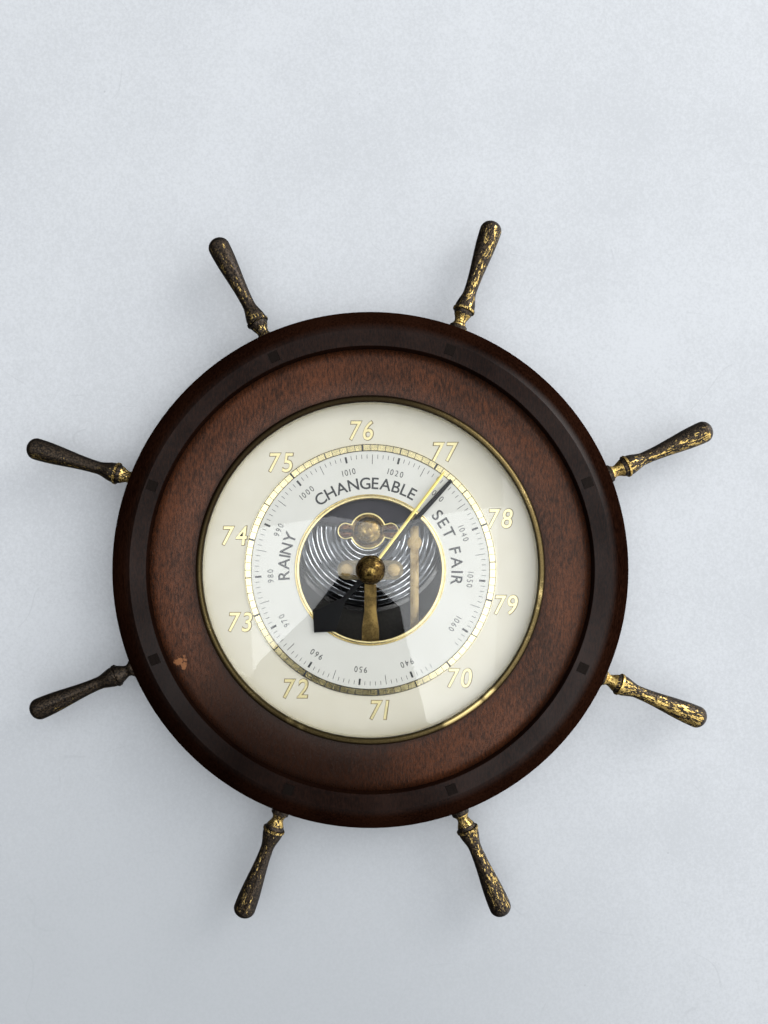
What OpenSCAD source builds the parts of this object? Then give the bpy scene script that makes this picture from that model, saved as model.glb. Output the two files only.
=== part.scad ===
// Aneroid wall barometer in a ship's wheel frame, millimetres.
// Each sub-part is drawn on the bench, face up: x to the right, y to twelve o'clock
// and z from the wall to the front, about the centre of the dial. hung() then stands
// it on the wall, with the front towards -Y and the hanger's hole at the origin.

/* [Wooden wheel] */
// Width of the dark moulded ring at the outside of the wheel
ring_w = 17.8; // [16:0.1:26]
// Height of the moulded ring above the wall
ring_t = 27; // [25:0.5:32]
// Width of the flat on top of the moulded ring
flat_w = 5.4; // [4:0.2:8]
// Rounding where the ring's flat meets its inner wall
ring_round = 1; // [0.5:0.1:2]
// Radius of the rounded outside of the ring
ovolo_r = 17; // [16.6:0.1:17.4]
// Height of the middle of the rounded outside above the wall
ovolo_z = 10; // [9.4:0.1:10.6]
// Visible width of the reddish band between ring and bezel
band_w = 18.5; // [14:0.1:24]
// Height of the band where the bezel stands on it
band_t = 22.3; // [22:0.1:28]
// How far the band is crowned above its edges
band_crown = 0.9; // [0.4:0.1:1.6]
// Side of the square pegs in the ring's flat
peg_side = 3.9; // [3:0.1:5]
// Length of the square pegs
peg_len = 9; // [6:0.5:12]
// How far the pegs stand proud of the flat
peg_proud = 0.2; // [0:0.1:0.5]

/* [Handles] */
// Number of handles around the wheel
handle_count = 8; // [6:1:10]
// Clock angle of the first handle's place
handle_first = 22.5; // [0:0.5:45]
// How far each handle stands from its even place, in degrees
handle_shift = [-2.6, 0.6, 2.3, 2.2, -2.1, 0, -1.4, -1.8];
// How far each handle leans from its radius, in degrees
handle_lean = [-1.3, -2.1, -2, -2.6, 0, -0.9, -4.2, -2.9];
// How deep each handle is sunk below its even seat
handle_sink = [0.4, 0.4, 1.2, 0, 0, 0.9, 2.3, 1.9];
// Height of the handles above the wall
handle_z = 13; // [12:0.5:14]
// Length of a handle from its foot to its tip
handle_len = 46.7; // [38:0.1:60]
// Radius of the flange at the foot of a handle
foot_r = 3.6; // [3.2:0.1:4.6]
// Thickness of that flange
foot_t = 2.2; // [1.8:0.1:3]
// Radius of the neck above the flange
neck_r = 2.3; // [2:0.1:3]
// Height of the neck's narrowest place
neck_at = 4; // [3.6:0.1:5.4]
// Radius of the sharp collar
collar_r = 4.5; // [4:0.1:5.5]
// Thickness of the collar
collar_t = 1.2; // [0.8:0.1:2]
// Height of the collar above the handle's foot
collar_at = 8.3; // [7:0.1:9.4]
// Radius of the waist of the grip
waist_r = 2.6; // [2.2:0.1:3.2]
// Height of the waist
waist_at = 17; // [14.5:0.5:19]
// Radius of the rounded club end
club_r = 4.4; // [3.8:0.1:5.5]
// Length of the rounding at the club end
club_round = 3.6; // [2.5:0.1:5]
// Radius of the stud that is screwed into the wood
stud_r = 2; // [1.5:0.1:2.4]
// Length of that stud
stud_len = 12; // [9:0.5:13]

/* [Bezel and glass] */
// Outer diameter of the brass bezel
bezel_d = 137.4; // [136:0.2:168]
// How far the bezel's bead overhangs its skirt
bead_w = 1; // [0.8:0.1:1.6]
// Wall thickness of the bezel
bezel_wall = 0.9; // [0.7:0.1:1.2]
// How far the bezel's lip reaches over the glass
lip_w = 1.2; // [0.9:0.1:2]
// Thickness of the glass
glass_t = 1.8; // [1.5:0.1:2.5]
// How far the glass is domed
glass_dome = 4.5; // [3.8:0.1:7]
// Height of the ring that holds the glass off the dial
seat_t = 2.8; // [2.4:0.1:4]
// Thickness of that ring
seat_w = 0.8; // [0.6:0.1:1]

/* [Dial] */
// Thickness of the dial plate
dial_t = 0.8; // [0.6:0.1:1.2]
// Radius of the opening in the middle of the dial
opening_r = 28.2; // [26:0.1:30]
// Width of the gilt ring around the opening
gilt_w = 1.9; // [1.5:0.1:2.4]
// Height of the gilt ring above the scale ring
gilt_t = 0.4; // [0.3:0.1:0.6]
// Wall of the gilt ring where it lines the opening
gilt_wall = 0.6; // [0.5:0.05:0.8]
// Outer radius of the pale inner scale ring
scale_r = 47.1; // [44:0.1:49]
// Thickness of the inner scale ring
scale_t = 0.4; // [0.3:0.05:0.6]
// Width of the gold graduated ring around it
grad_w = 2.9; // [2:0.1:4]
// Thickness of the gold graduated ring
grad_t = 0.5; // [0.3:0.05:0.6]

/* [Case] */
// Width of the case's flange under the dial
flange_w = 9.6; // [8:0.2:14]
// Thickness of the case's sheet
case_wall = 0.8; // [0.6:0.1:1.2]
// Depth of the recess in the back of the wood
recess_t = 2.5; // [2.2:0.1:3]
// Width of that recess around the case
recess_w = 8.6; // [8:0.1:10]
// Depth of the dial below the band
dial_drop = 2.9; // [2.6:0.1:3.2]

/* [Movement plates] */
// Thickness of the movement's base plate
base_t = 1.5; // [1.2:0.1:2]
// Free width between base plate and case
base_free = 3.2; // [2:0.2:8]
// Height of the lower cock plate above the base plate
cock_z = 6.4; // [6:0.1:7]
// Thickness of both cock plates and of the strap
cock_t = 1; // [0.8:0.1:1.2]
// Free height between lower cock plate and strap
cock_gap = 2.8; // [2.6:0.1:3.4]
// Half the length of the cock plates, between the centres of their round ends
cock_half = 9.4; // [8:0.1:11]
// Radius of the round ends of the cock plates
cock_end_r = 3.9; // [3.4:0.1:4.5]
// Radius of the two pillars between the cock plates
pillar_r = 1; // [0.8:0.1:1.3]
// Width of the strap near the middle
strap_w = 4.9; // [4:0.1:6]
// Width of the strap at its foot
strap_foot_w = 7; // [6.4:0.1:9]
// Distance of the strap's foot below the middle
strap_foot_y = 43; // [42:0.5:45]
// Distance below the middle at which the strap starts to widen
strap_neck_y = 16.5; // [12:0.5:20]
// Length over which it widens
strap_flare = 7; // [4:0.5:8]

/* [Capsule and mainspring] */
// Distance of the capsule to the right of the dial's centre
capsule_x = -0.9; // [-2:0.1:2]
// Distance of the capsule above the dial's centre
capsule_y = 15.8; // [14:0.1:17]
// Radius of the vacuum capsule
capsule_r = 33.2; // [28:0.1:35]
// Number of corrugations in each diaphragm
wave_count = 7; // [4:1:8]
// Height of the corrugations, from the middle to the crest
wave_h = 0.35; // [0.3:0.05:0.6]
// Thickness of the diaphragms
skin_t = 0.3; // [0.25:0.05:0.4]
// Half the width of the mainspring
spring_half = 26; // [22:0.5:27]
// Thickness of the mainspring
spring_t = 1.2; // [1:0.1:1.6]
// Height of the mainspring above the base plate
spring_z = 7.2; // [7:0.1:8]
// Distance of the mainspring's free edge above the dial's centre
spring_edge_y = 18; // [17:0.2:20]
// Distance of its pivots above the dial's centre
spring_pivot_y = 41; // [40:0.5:43]
// Radius of the mainspring's pivot pins
pivot_pin_r = 0.8; // [0.6:0.05:1]
// Radius of the brass dome on the capsule's post
dome_r = 5.7; // [5:0.1:6.2]
// Height of that dome
dome_h = 2.6; // [2:0.1:2.8]
// Radius of the ring of the plate under the dome
dome_ring_r = 7.4; // [7:0.1:8]
// Distance of each plate screw from the dome's centre
plate_screw_x = 9; // [8.8:0.1:10]
// Radius of the capsule's post
post_r = 1.2; // [1:0.1:1.5]

/* [Lever, rocker and chain] */
// Distance of the main lever to the right of the dial's centre
lever_x = 18; // [17:0.2:19.5]
// Width of the main lever
lever_w = 3.4; // [3:0.1:4]
// Thickness of the main lever
lever_t = 1; // [0.8:0.1:1.1]
// Radius of the round eye in the main lever
lever_eye_r = 3; // [2.6:0.1:3.4]
// Distance of that eye above the dial's centre
lever_eye_y = 11.2; // [9:0.2:12]
// Distance of the rocker's shaft below the dial's centre
rocker_y = 34; // [33:0.5:36]
// Height of the rocker's shaft above the base plate
rocker_z = 2.2; // [2.1:0.1:2.4]
// Radius of the rocker's shaft
rocker_r = 0.8; // [0.7:0.05:0.9]
// Radius of its pivots and of the hand arbor
pivot_r = 0.5; // [0.4:0.05:0.6]
// Length of the arm that pulls the chain
rocker_arm = 6.2; // [5.9:0.1:6.3]
// Length of the crank that hangs on the lever's link
rocker_crank = 3; // [2.5:0.1:3.5]
// Radius of the drum that the chain winds on
drum_r = 0.5; // [0.5:0.05:0.6]
// Width and thickness of the chain
chain_w = 0.2; // [0.2:0.05:0.3]
// Turns of the hairspring
hair_turns = 5; // [3:1:5]
// Radius at which the hairspring starts
hair_r0 = 1.3; // [1.2:0.1:1.5]
// Radius at which the hairspring ends
hair_r1 = 4.8; // [4.6:0.1:5]
// Thickness of the hairspring's ribbon
hair_t = 0.15; // [0.1:0.05:0.2]
// Height of the hairspring's ribbon
hair_h = 0.5; // [0.4:0.1:0.6]

/* [Hands] */
// Clock angle of the pressure hand
hand_at = 42; // [-120:1:120]
// Length of the pressure hand to its tip
hand_len = 47.8; // [44:0.1:50]
// Width of the pressure hand's pointer
hand_w = 1.8; // [1.4:0.1:2.2]
// Thickness of the hands
hand_t = 0.4; // [0.3:0.05:0.5]
// Radius of the pressure hand's boss
boss_r = 2.2; // [1.8:0.1:2.6]
// Length of the narrow part of the tail
tail_neck = 16; // [14:0.5:18]
// Distance of the tail's corners from the middle
tail_at = 27.3; // [26:0.1:29]
// Half the width of the flared tail
tail_half = 6; // [5:0.1:7]
// Distance of the tail's point from the middle
tail_len = 33.3; // [32:0.1:35]
// Clock angle of the set hand
set_at = 37; // [0:1:360]
// Length of the set hand to its tip
set_len = 48.7; // [44:0.1:50]
// Width of the set hand
set_w = 1.2; // [0.9:0.1:1.6]
// Radius of the set hand's boss
set_boss_r = 2.6; // [2:0.1:3]
// Radius of the spindle through the glass
spindle_r = 1.6; // [1.3:0.1:2]
// Radius of the knob on the glass
knob_r = 5.7; // [5:0.1:6.5]
// Height of the knob
knob_h = 8; // [6.5:0.1:10]
// Radius of the knob's neck
knob_neck_r = 3.4; // [3:0.1:4]

/* [Back] */
// Radius of the hole in the hanger
hanger_hole_r = 3; // [2.5:0.1:3.5]
// Length of the hanger plate
hanger_len = 34; // [30:0.5:38]
// Width of the hanger plate
hanger_w = 12; // [11:0.5:13]
// Thickness of the hanger plate
hanger_t = 1.2; // [1:0.1:1.6]
// Depth of the pocket behind the hanger's hole
pocket_t = 9; // [7:0.5:11]
// Number of clips that hold the case
clip_count = 3; // [3:1:6]
// Width of a clip
clip_w = 8; // [6:0.5:10]
// Thickness of a clip
clip_t = 1; // [0.8:0.1:1.2]
// Radius of the slotted adjusting screw's head
adjust_r = 3.2; // [2.6:0.1:3.6]

/* [Clearances] */
// Radial clearance of turning pins and shafts
run_gap = 0.05; // [0.03:0.01:0.08]
// Gap left by glue and between nested round pieces
glue_gap = 0.1; // [0.05:0.05:0.15]
// Gap between pieces of the movement that may touch
touch_gap = 0.3; // [0.2:0.05:0.4]
// Height of the pressure hand above the graduated ring
hand_gap = 0.9; // [0.7:0.1:1.2]
// Height of the set hand above the pressure hand
set_gap = 1.1; // [0.9:0.1:1.6]

/* [Hidden] */
$fn = 96;

// Small fixed sizes of the rocker, the chain and the link
hub_r = rocker_z - 0.6;
crank_end_r = 0.6;
link_r = 0.4;
arm_t = 0.8;
ear_t = 1.2;
ear_w = 3.2;
chain_pin_r = 0.25;
chain_pin_gap = 0.4;

// Radii from the bezel outwards and inwards
bezel_r = bezel_d / 2;
skirt_out_r = bezel_r - bead_w;
skirt_in_r = skirt_out_r - bezel_wall;
lip_r = skirt_in_r - lip_w;
glass_r = skirt_in_r - glue_gap;
dial_r = skirt_in_r - glue_gap;
case_r = dial_r - flange_w;
case_hole_r = case_r + touch_gap;
recess_r = case_hole_r + recess_w;
joint_r = bezel_r + band_w;
rim_r = joint_r + ring_w;
flat_in_r = joint_r + ring_round;
flat_out_r = flat_in_r + flat_w;
ovolo_c = rim_r - ovolo_r;
base_r = case_r - case_wall - base_free;
hanger_y = (recess_r + joint_r) / 2;

// Heights above the wall
z_back = recess_t;
z_base0 = z_back + case_wall;
z_base = z_base0 + base_t;
z_flange = band_t - dial_drop;
z_dial = z_flange + dial_t;
z_scale = z_dial + scale_t;
z_grad = z_dial + grad_t;
z_hand = z_grad + hand_gap;
z_set = z_hand + hand_t + set_gap;
z_glass = z_dial + seat_t;
z_lip = z_glass + glass_t + glue_gap;
z_knob = z_glass + glass_t + glass_dome + touch_gap;
z_shaft = z_base + rocker_z;
z_cock0 = z_base + cock_z;
z_strap = z_cock0 + cock_t + cock_gap;
z_cock1 = z_strap + cock_t;
z_spring = z_base + spring_z;
z_plate = z_spring + spring_t;
z_dome = z_plate + 1;
z_chain = z_shaft + rocker_arm;
z_hair = z_strap - hair_h - 0.5;
z_link = z_shaft - crank_end_r - touch_gap;

// Places of the handles around the wheel
handle_seat = ovolo_c + sqrt(pow(ovolo_r, 2) - pow(handle_z + foot_r - ovolo_z, 2)) - 0.05;
function handle_angle(i) = handle_first + i * 360 / handle_count + handle_shift[i % len(handle_shift)];

// A smooth change of radius along a turned piece, as points from one station to the next
function ease(a, b, t) = a + (b - a) * (1 - cos(180 * t)) / 2;
function flow(s0, r0, s1, r1, n) = [for (i = [1:n]) [ease(r0, r1, i / n), s0 + (s1 - s0) * i / n]];

// A quarter of an ellipse that closes a turned piece, of radius r and height h above s
function cap(r, s, h, n) = [for (i = [1:n]) [r * cos(90 * i / n), s + h * sin(90 * i / n)]];

// One point of the hairspring's middle line
function hair_point(t) =
    let (r = hair_r0 + (hair_r1 - hair_r0) * t, a = 360 * hair_turns * t)
    [r * cos(a), r * sin(a)];
hair_steps = 24 * hair_turns;
hair_line = [for (i = [0:hair_steps]) hair_point(i / hair_steps)];
hair_least_gap = min([for (i = [0:hair_steps - 24])
    norm(hair_line[i + 24] - hair_line[i])]) - hair_t;
echo(hairspring_least_gap = hair_least_gap);

module hung() {
    translate([0, 0, -hanger_y]) rotate([90, 0, 0]) children();
}

module tube(r_out, r_in, h) {
    difference() {
        cylinder(r = r_out, h = h);
        translate([0, 0, -1]) cylinder(r = r_in, h = h + 2);
    }
}

module at_clock(angle, r) {
    rotate([0, 0, -angle]) translate([0, r, 0]) children();
}

// A screw with a slotted head that faces along +z, its head standing on z = 0
module screw(head_r, head_h, shank_r, shank_len) {
    slot_w = head_r / 4;
    difference() {
        union() {
            cylinder(r = head_r, h = head_h);
            translate([0, 0, -shank_len]) cylinder(r = shank_r, h = shank_len + 0.1);
        }
        translate([-head_r - 1, -slot_w / 2, head_h / 2]) cube([2 * head_r + 2, slot_w, head_h]);
    }
}

// Wooden wheel

module ring_profile() {
    intersection() {
        translate([joint_r, 0]) square([ring_w, ring_t]);
        union() {
            translate([joint_r - 1, -1]) square([flat_out_r - joint_r + 1, ring_t + 1 - ring_round]);
            translate([flat_in_r, 0]) square([flat_w, ring_t]);
            translate([flat_in_r, ring_t - ring_round]) circle(r = ring_round);
            translate([ovolo_c, ovolo_z]) circle(r = ovolo_r);
        }
    }
}

module handle_place(i) {
    at_clock(handle_angle(i), handle_seat) translate([0, 0, handle_z])
        rotate([0, 0, -handle_lean[i % len(handle_lean)]])
            translate([0, -handle_sink[i % len(handle_sink)], 0]) children();
}

module peg_place(i) {
    at_clock(handle_angle(i), (flat_in_r + flat_out_r) / 2) children();
}

module rim_ring() {
    color("#2a1914") hung() difference() {
        rotate_extrude() ring_profile();
        for (i = [0:handle_count - 1]) {
            handle_place(i) rotate([-90, 0, 0]) rotate_extrude() polygon([
                [0, -stud_len - touch_gap], [stud_r + run_gap, -stud_len - touch_gap],
                [stud_r + run_gap, 0], [foot_r + glue_gap, 0], [foot_r + glue_gap, 8], [0, 8]]);
            peg_place(i) translate([-peg_side / 2 - run_gap, -peg_side / 2 - run_gap, ring_t - peg_len])
                cube([peg_side + 2 * run_gap, peg_side + 2 * run_gap, peg_len + 1]);
        }
    }
}

module rim_pegs() {
    color("#160d0a") hung() for (i = [0:handle_count - 1])
        peg_place(i) translate([-peg_side / 2, -peg_side / 2, ring_t - peg_len])
            cube([peg_side, peg_side, peg_len + peg_proud]);
}

module band_profile() {
    mid = (bezel_r + joint_r) / 2;
    half = (joint_r - bezel_r) / 2;
    arc_r = (pow(half, 2) + pow(band_crown, 2)) / (2 * band_crown);
    intersection() {
        translate([case_hole_r, 0]) square([joint_r - glue_gap - case_hole_r, band_t + band_crown]);
        union() {
            translate([case_hole_r, 0]) square([bezel_r - case_hole_r, band_t]);
            translate([mid, band_t + band_crown - arc_r]) circle(r = arc_r);
        }
    }
}

module face_ring() {
    flange_floor = z_flange - case_wall;
    color("#5b3a2c") hung() difference() {
        rotate_extrude() band_profile();
        translate([0, 0, flange_floor]) cylinder(r = skirt_out_r + glue_gap, h = ring_t);
        translate([0, 0, -1]) cylinder(r = recess_r, h = recess_t + 1);
        translate([0, hanger_y, 0]) hanger_cut();
        for (i = [0:clip_count - 1]) clip_screw_place(i)
            translate([0, 0, -1]) cylinder(r = 1.2 + run_gap, h = 12);
    }
}

module hanger_cut() {
    translate([-hanger_len / 2 - glue_gap, -hanger_w / 2 - glue_gap, -1])
        cube([hanger_len + 2 * glue_gap, hanger_w + 2 * glue_gap, hanger_t + 1]);
    translate([0, 0, -1]) cylinder(r = hanger_hole_r + 1.5, h = pocket_t + 1);
    for (side = [-1, 1]) translate([side * hanger_len / 3, 0, -1])
        cylinder(r = 1.2 + run_gap, h = 13);
}

// Handles

handle_outline = concat(
    [[0, -stud_len], [stud_r, -stud_len], [stud_r, 0], [foot_r, 0], [foot_r, foot_t],
        [foot_r - 0.6, foot_t]],
    flow(foot_t, foot_r - 0.6, neck_at, neck_r, 5),
    flow(neck_at, neck_r, collar_at, collar_r - 0.7, 5),
    [[collar_r, collar_at + 0.1], [collar_r, collar_at + collar_t],
        [collar_r - 0.4, collar_at + collar_t + 0.1]],
    flow(collar_at + collar_t + 0.1, collar_r - 0.4, waist_at, waist_r, 9),
    flow(waist_at, waist_r, handle_len - club_round, club_r, 16),
    cap(club_r, handle_len - club_round, club_round, 8));

module handle(i) {
    color(i >= 1 && i <= 3 ? "#b08d3c" : "#4b3a28") hung()
        handle_place(i) rotate([-90, 0, 0]) rotate_extrude() polygon(handle_outline);
}

module handle_1() { handle(0); }
module handle_2() { handle(1); }
module handle_3() { handle(2); }
module handle_4() { handle(3); }
module handle_5() { handle(4); }
module handle_6() { handle(5); }
module handle_7() { handle(6); }
module handle_8() { handle(7); }

// Bezel, glass and dial

module bezel() {
    top = z_lip + bezel_wall;
    crest = (skirt_out_r + lip_r) / 2;
    skirt_z = z_flange - case_wall + touch_gap;
    color("#a8883f") hung() rotate_extrude() polygon(concat(
        [[skirt_in_r, skirt_z], [skirt_out_r, skirt_z], [skirt_out_r, band_t],
            [bezel_r, band_t], [bezel_r, band_t + 0.9]],
        [for (a = [15:15:90]) [crest + (bezel_r - crest) * cos(a),
            band_t + 0.9 + (top - band_t - 0.9) * sin(a)]],
        [[lip_r, top - 0.3], [lip_r, z_lip], [skirt_in_r, z_lip]]));
}

glass_steps = 14;
function dome(r, z, i) = [r * i / glass_steps, z + glass_dome * (1 - pow(i / glass_steps, 2))];

module glass() {
    flat_r = lip_r - 0.4;
    color("#c9dadd", 0.35) hung() difference() {
        rotate_extrude() polygon(concat(
            [for (i = [0:glass_steps]) dome(flat_r, z_glass, i)],
            [[glass_r, z_glass], [glass_r, z_glass + glass_t]],
            [for (i = [glass_steps:-1:0]) dome(flat_r, z_glass + glass_t, i)]));
        translate([0, 0, z_glass - 1]) cylinder(r = spindle_r + run_gap, h = glass_dome + glass_t + 2);
    }
}

module glass_seat() {
    color("#cfc8ae") hung() translate([0, 0, z_dial]) tube(glass_r, glass_r - seat_w, seat_t);
}

module dial_plate() {
    color("#e8e2cc") hung() translate([0, 0, z_flange]) tube(dial_r, opening_r + gilt_wall + glue_gap, dial_t);
}

module scale_ring() {
    color("#e6e7e4") hung() translate([0, 0, z_dial]) tube(scale_r, opening_r + gilt_wall + glue_gap, scale_t);
}

module graduation_ring() {
    color("#d9b95c") hung() translate([0, 0, z_dial]) tube(scale_r + grad_w, scale_r + glue_gap, grad_t);
}

module opening_ring() {
    color("#e2c56e") hung() rotate_extrude() polygon([
        [opening_r, z_flange - 0.6], [opening_r + gilt_wall, z_flange - 0.6],
        [opening_r + gilt_wall, z_scale], [opening_r + gilt_w, z_scale],
        [opening_r + gilt_w, z_scale + gilt_t * 0.6], [opening_r + gilt_w * 0.8, z_scale + gilt_t],
        [opening_r + gilt_w * 0.2, z_scale + gilt_t], [opening_r, z_scale + gilt_t * 0.6]]);
}

// Case and what holds it

module case_can() {
    color("#9b8a5e") hung() difference() {
        union() {
            translate([0, 0, z_back]) tube(case_r, case_r - case_wall, z_flange - z_back);
            translate([0, 0, z_back]) cylinder(r = case_r, h = case_wall);
            translate([0, 0, z_flange - case_wall]) tube(dial_r, case_r - case_wall, case_wall);
        }
        translate([capsule_x, capsule_y, z_back - 1]) cylinder(r = adjust_r + touch_gap, h = case_wall + 2);
        for (i = [0:2]) movement_screw_place(i) translate([0, 0, z_back - 1])
            cylinder(r = 1.4 + run_gap, h = case_wall + 2);
    }
}

module movement_screw_place(i) {
    at_clock(i * 120 + 90, 38) children();
}

module base_plate() {
    color("#3b3b3d") hung() difference() {
        translate([0, 0, z_base0]) cylinder(r = base_r, h = base_t);
        translate([capsule_x, capsule_y, z_base0 - 1]) cylinder(r = 2 + run_gap, h = base_t + 2);
        for (i = [0:2]) movement_screw_place(i) translate([0, 0, z_base0 - 1])
            cylinder(r = 1.4 + run_gap, h = base_t + 2);
        for (p = bracket_screw_places) translate([p[0], p[1], z_base0 - 1])
            cylinder(r = 0.8 + run_gap, h = base_t + 2);
    }
}

module movement_screws() {
    color("#8c8574") hung() for (i = [0:2]) movement_screw_place(i)
        translate([0, 0, z_back]) mirror([0, 0, 1]) screw(2.6, 1.2, 1.4, case_wall + base_t);
}

module clip_screw_place(i) {
    at_clock(60 + i * 360 / clip_count, (case_hole_r + recess_r) / 2) children();
}

module case_clips() {
    color("#8d8878") hung() for (i = [0:clip_count - 1]) difference() {
        at_clock(60 + i * 360 / clip_count, case_r - 4)
            translate([-clip_w / 2, 0, z_back - clip_t])
                cube([clip_w, recess_r - case_r + 3, clip_t]);
        clip_screw_place(i) translate([0, 0, -1]) cylinder(r = 1.2 + run_gap, h = z_back + 2);
    }
}

module clip_screws() {
    color("#b3a77c") hung() for (i = [0:clip_count - 1]) clip_screw_place(i)
        translate([0, 0, z_back - clip_t]) mirror([0, 0, 1]) screw(2.4, 1, 1.2, 9);
}

module hanger_plate() {
    color("#b08d3c") hung() translate([0, hanger_y, 0]) difference() {
        translate([-hanger_len / 2, -hanger_w / 2, 0]) cube([hanger_len, hanger_w, hanger_t]);
        translate([0, 0, -1]) cylinder(r = hanger_hole_r, h = hanger_t + 2);
        for (side = [-1, 1]) translate([side * hanger_len / 3, 0, 0]) {
            translate([0, 0, -1]) cylinder(r = 1.2 + run_gap, h = hanger_t + 2);
            translate([0, 0, -0.5]) cylinder(r = 2.4 + run_gap, h = 1.2);
        }
    }
}

module hanger_screws() {
    color("#b3a77c") hung() for (side = [-1, 1])
        translate([side * hanger_len / 3, hanger_y, 0.7])
            mirror([0, 0, 1]) screw(2.4, 0.6, 1.2, 10);
}

// Capsule, mainspring and the dome over the capsule's post

wave_r0 = 4;
wave_r1 = capsule_r - 1.6;
wave_n = 8 * wave_count;
z_seam = z_base + 2.2;
z_wave_front = z_seam + 1.6;
z_wave_back = z_seam - 1.1;
function wave(z, i) =
    let (t = i / wave_n)
    [wave_r0 + (wave_r1 - wave_r0 - 1) * t, z + wave_h * (1 - cos(360 * wave_count * t)) / 2 - wave_h / 2];

module diaphragm(z, z_edge, hole_r) {
    lower = concat([[hole_r, z - wave_h / 2]], [for (i = [0:wave_n]) wave(z, i)],
        [[wave_r1, z_edge], [capsule_r, z_edge]]);
    upper = [for (i = [len(lower) - 1:-1:0]) lower[i] + [0, skin_t]];
    rotate_extrude() polygon(concat(lower, upper));
}

module capsule_front() {
    color("#a3a6ab") hung() translate([capsule_x, capsule_y, 0]) {
        diaphragm(z_wave_front, z_seam, 0);
        translate([0, 0, z_wave_front - wave_h / 2]) cylinder(r = 2.4, h = 0.9);
    }
}

module capsule_back() {
    color("#8f9297") hung() translate([capsule_x, capsule_y, 0]) mirror([0, 0, 1]) {
        translate([0, 0, -2 * z_seam]) diaphragm(2 * z_seam - z_wave_back, z_seam, 0);
        translate([0, 0, -z_wave_back - wave_h / 2]) cylinder(r = 2.4, h = z_wave_back - z_base + wave_h / 2);
    }
}

post_z0 = z_wave_front - wave_h / 2 + 0.9 + touch_gap;

module capsule_post() {
    color("#b59243") hung() translate([capsule_x, capsule_y, post_z0])
        cylinder(r = post_r, h = z_dome - post_z0);
}

module adjust_screw() {
    color("#b59243") hung() translate([capsule_x, capsule_y, z_base0])
        mirror([0, 0, 1]) screw(adjust_r, 1.4, 2, base_t - 0.1);
}

module bow_tie(r, ear_r) {
    circle(r = r);
    translate([-plate_screw_x, -ear_r]) square([2 * plate_screw_x, 2 * ear_r]);
    for (side = [-1, 1]) translate([side * plate_screw_x, 0]) circle(r = ear_r);
}

module mainspring() {
    knuckle_r = 1.7;
    lip = 1.2;
    z_mid = z_spring + spring_t / 2;
    color("#33353b") hung() difference() {
        union() {
            translate([0, 0, z_spring]) linear_extrude(spring_t) {
                translate([-spring_half, spring_edge_y])
                    square([2 * spring_half, spring_pivot_y - spring_edge_y]);
                translate([capsule_x, capsule_y]) bow_tie(dome_ring_r - 0.6, 3.2);
            }
            translate([-spring_half, spring_edge_y, z_spring]) cube([2 * spring_half, lip, spring_t + 0.7]);
            translate([-spring_half, spring_pivot_y, z_mid]) rotate([0, 90, 0])
                cylinder(r = knuckle_r, h = 2 * spring_half);
        }
        for (side = [0, 1]) mirror([side, 0, 0]) translate([spring_half - 6, spring_pivot_y, z_mid])
            rotate([0, 90, 0]) cylinder(r = pivot_pin_r + run_gap, h = 7);
        translate([capsule_x, capsule_y, z_spring - 1]) cylinder(r = post_r + run_gap, h = 5);
        for (side = [-1, 1]) translate([capsule_x + side * plate_screw_x, capsule_y, z_spring - 1])
            cylinder(r = 1 + run_gap, h = 5);
        translate([capsule_x, capsule_y, z_plate]) linear_extrude(3) offset_bow_tie();
        translate([lever_x, spring_edge_y + 3, z_spring - 1]) cylinder(r = 0.9 + run_gap, h = 5);
    }
}

// Room for the dome's plate where it crosses the mainspring's lip
module offset_bow_tie() {
    bow_tie(dome_ring_r + glue_gap, 3.4 + glue_gap);
}

module dome_plate() {
    color("#b59243") hung() translate([capsule_x, capsule_y, z_plate]) difference() {
        linear_extrude(z_dome - z_plate) bow_tie(dome_ring_r, 3.4);
        translate([0, 0, -1]) cylinder(r = post_r + run_gap, h = 3);
        for (side = [-1, 1]) translate([side * plate_screw_x, 0, -1]) cylinder(r = 1 + run_gap, h = 3);
    }
}

module dome_nut() {
    arc_r = (pow(dome_r, 2) + pow(dome_h, 2)) / (2 * dome_h);
    color("#b59243") hung() translate([capsule_x, capsule_y, z_dome]) rotate_extrude() intersection() {
        square([dome_r, dome_h]);
        translate([0, dome_h - arc_r]) circle(r = arc_r);
    }
}

module plate_screws() {
    color("#8a6a35") hung() for (side = [-1, 1])
        translate([capsule_x + side * plate_screw_x, capsule_y, z_dome])
            screw(2.8, 1.2, 1, z_dome - z_spring);
}

module spring_bridge() {
    ear_x = spring_half + touch_gap;
    bridge_ear_t = 3;
    ear_y = spring_pivot_y - 3;
    z_mid = z_spring + spring_t / 2;
    color("#4a4a4c") hung() difference() {
        union() {
            for (side = [0, 1]) mirror([side, 0, 0])
                translate([ear_x, ear_y, z_base]) cube([bridge_ear_t, 6, z_mid + 2.2 - z_base]);
            translate([0, 0, z_base]) linear_extrude(2.4) intersection() {
                translate([-ear_x - bridge_ear_t, ear_y]) square([2 * (ear_x + bridge_ear_t), base_r]);
                difference() {
                    circle(r = bridge_out_r);
                    translate([capsule_x, capsule_y]) circle(r = bridge_cut_r);
                }
            }
        }
        for (side = [0, 1]) mirror([side, 0, 0]) translate([ear_x - 1, spring_pivot_y, z_mid])
            rotate([0, 90, 0]) cylinder(r = pivot_pin_r + run_gap, h = bridge_ear_t + 2);
        for (p = bracket_screw_places) translate([p[0], p[1], z_base - 1])
            cylinder(r = 0.8 + run_gap, h = 6);
    }
}

module spring_pivots() {
    color("#b59243") hung() for (side = [0, 1]) mirror([side, 0, 0])
        translate([spring_half - 5, spring_pivot_y, z_spring + spring_t / 2])
            rotate([0, 90, 0]) cylinder(r = pivot_pin_r, h = 5 + touch_gap + 3.4);
}

// Main lever, its rivets and its end screw

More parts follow.
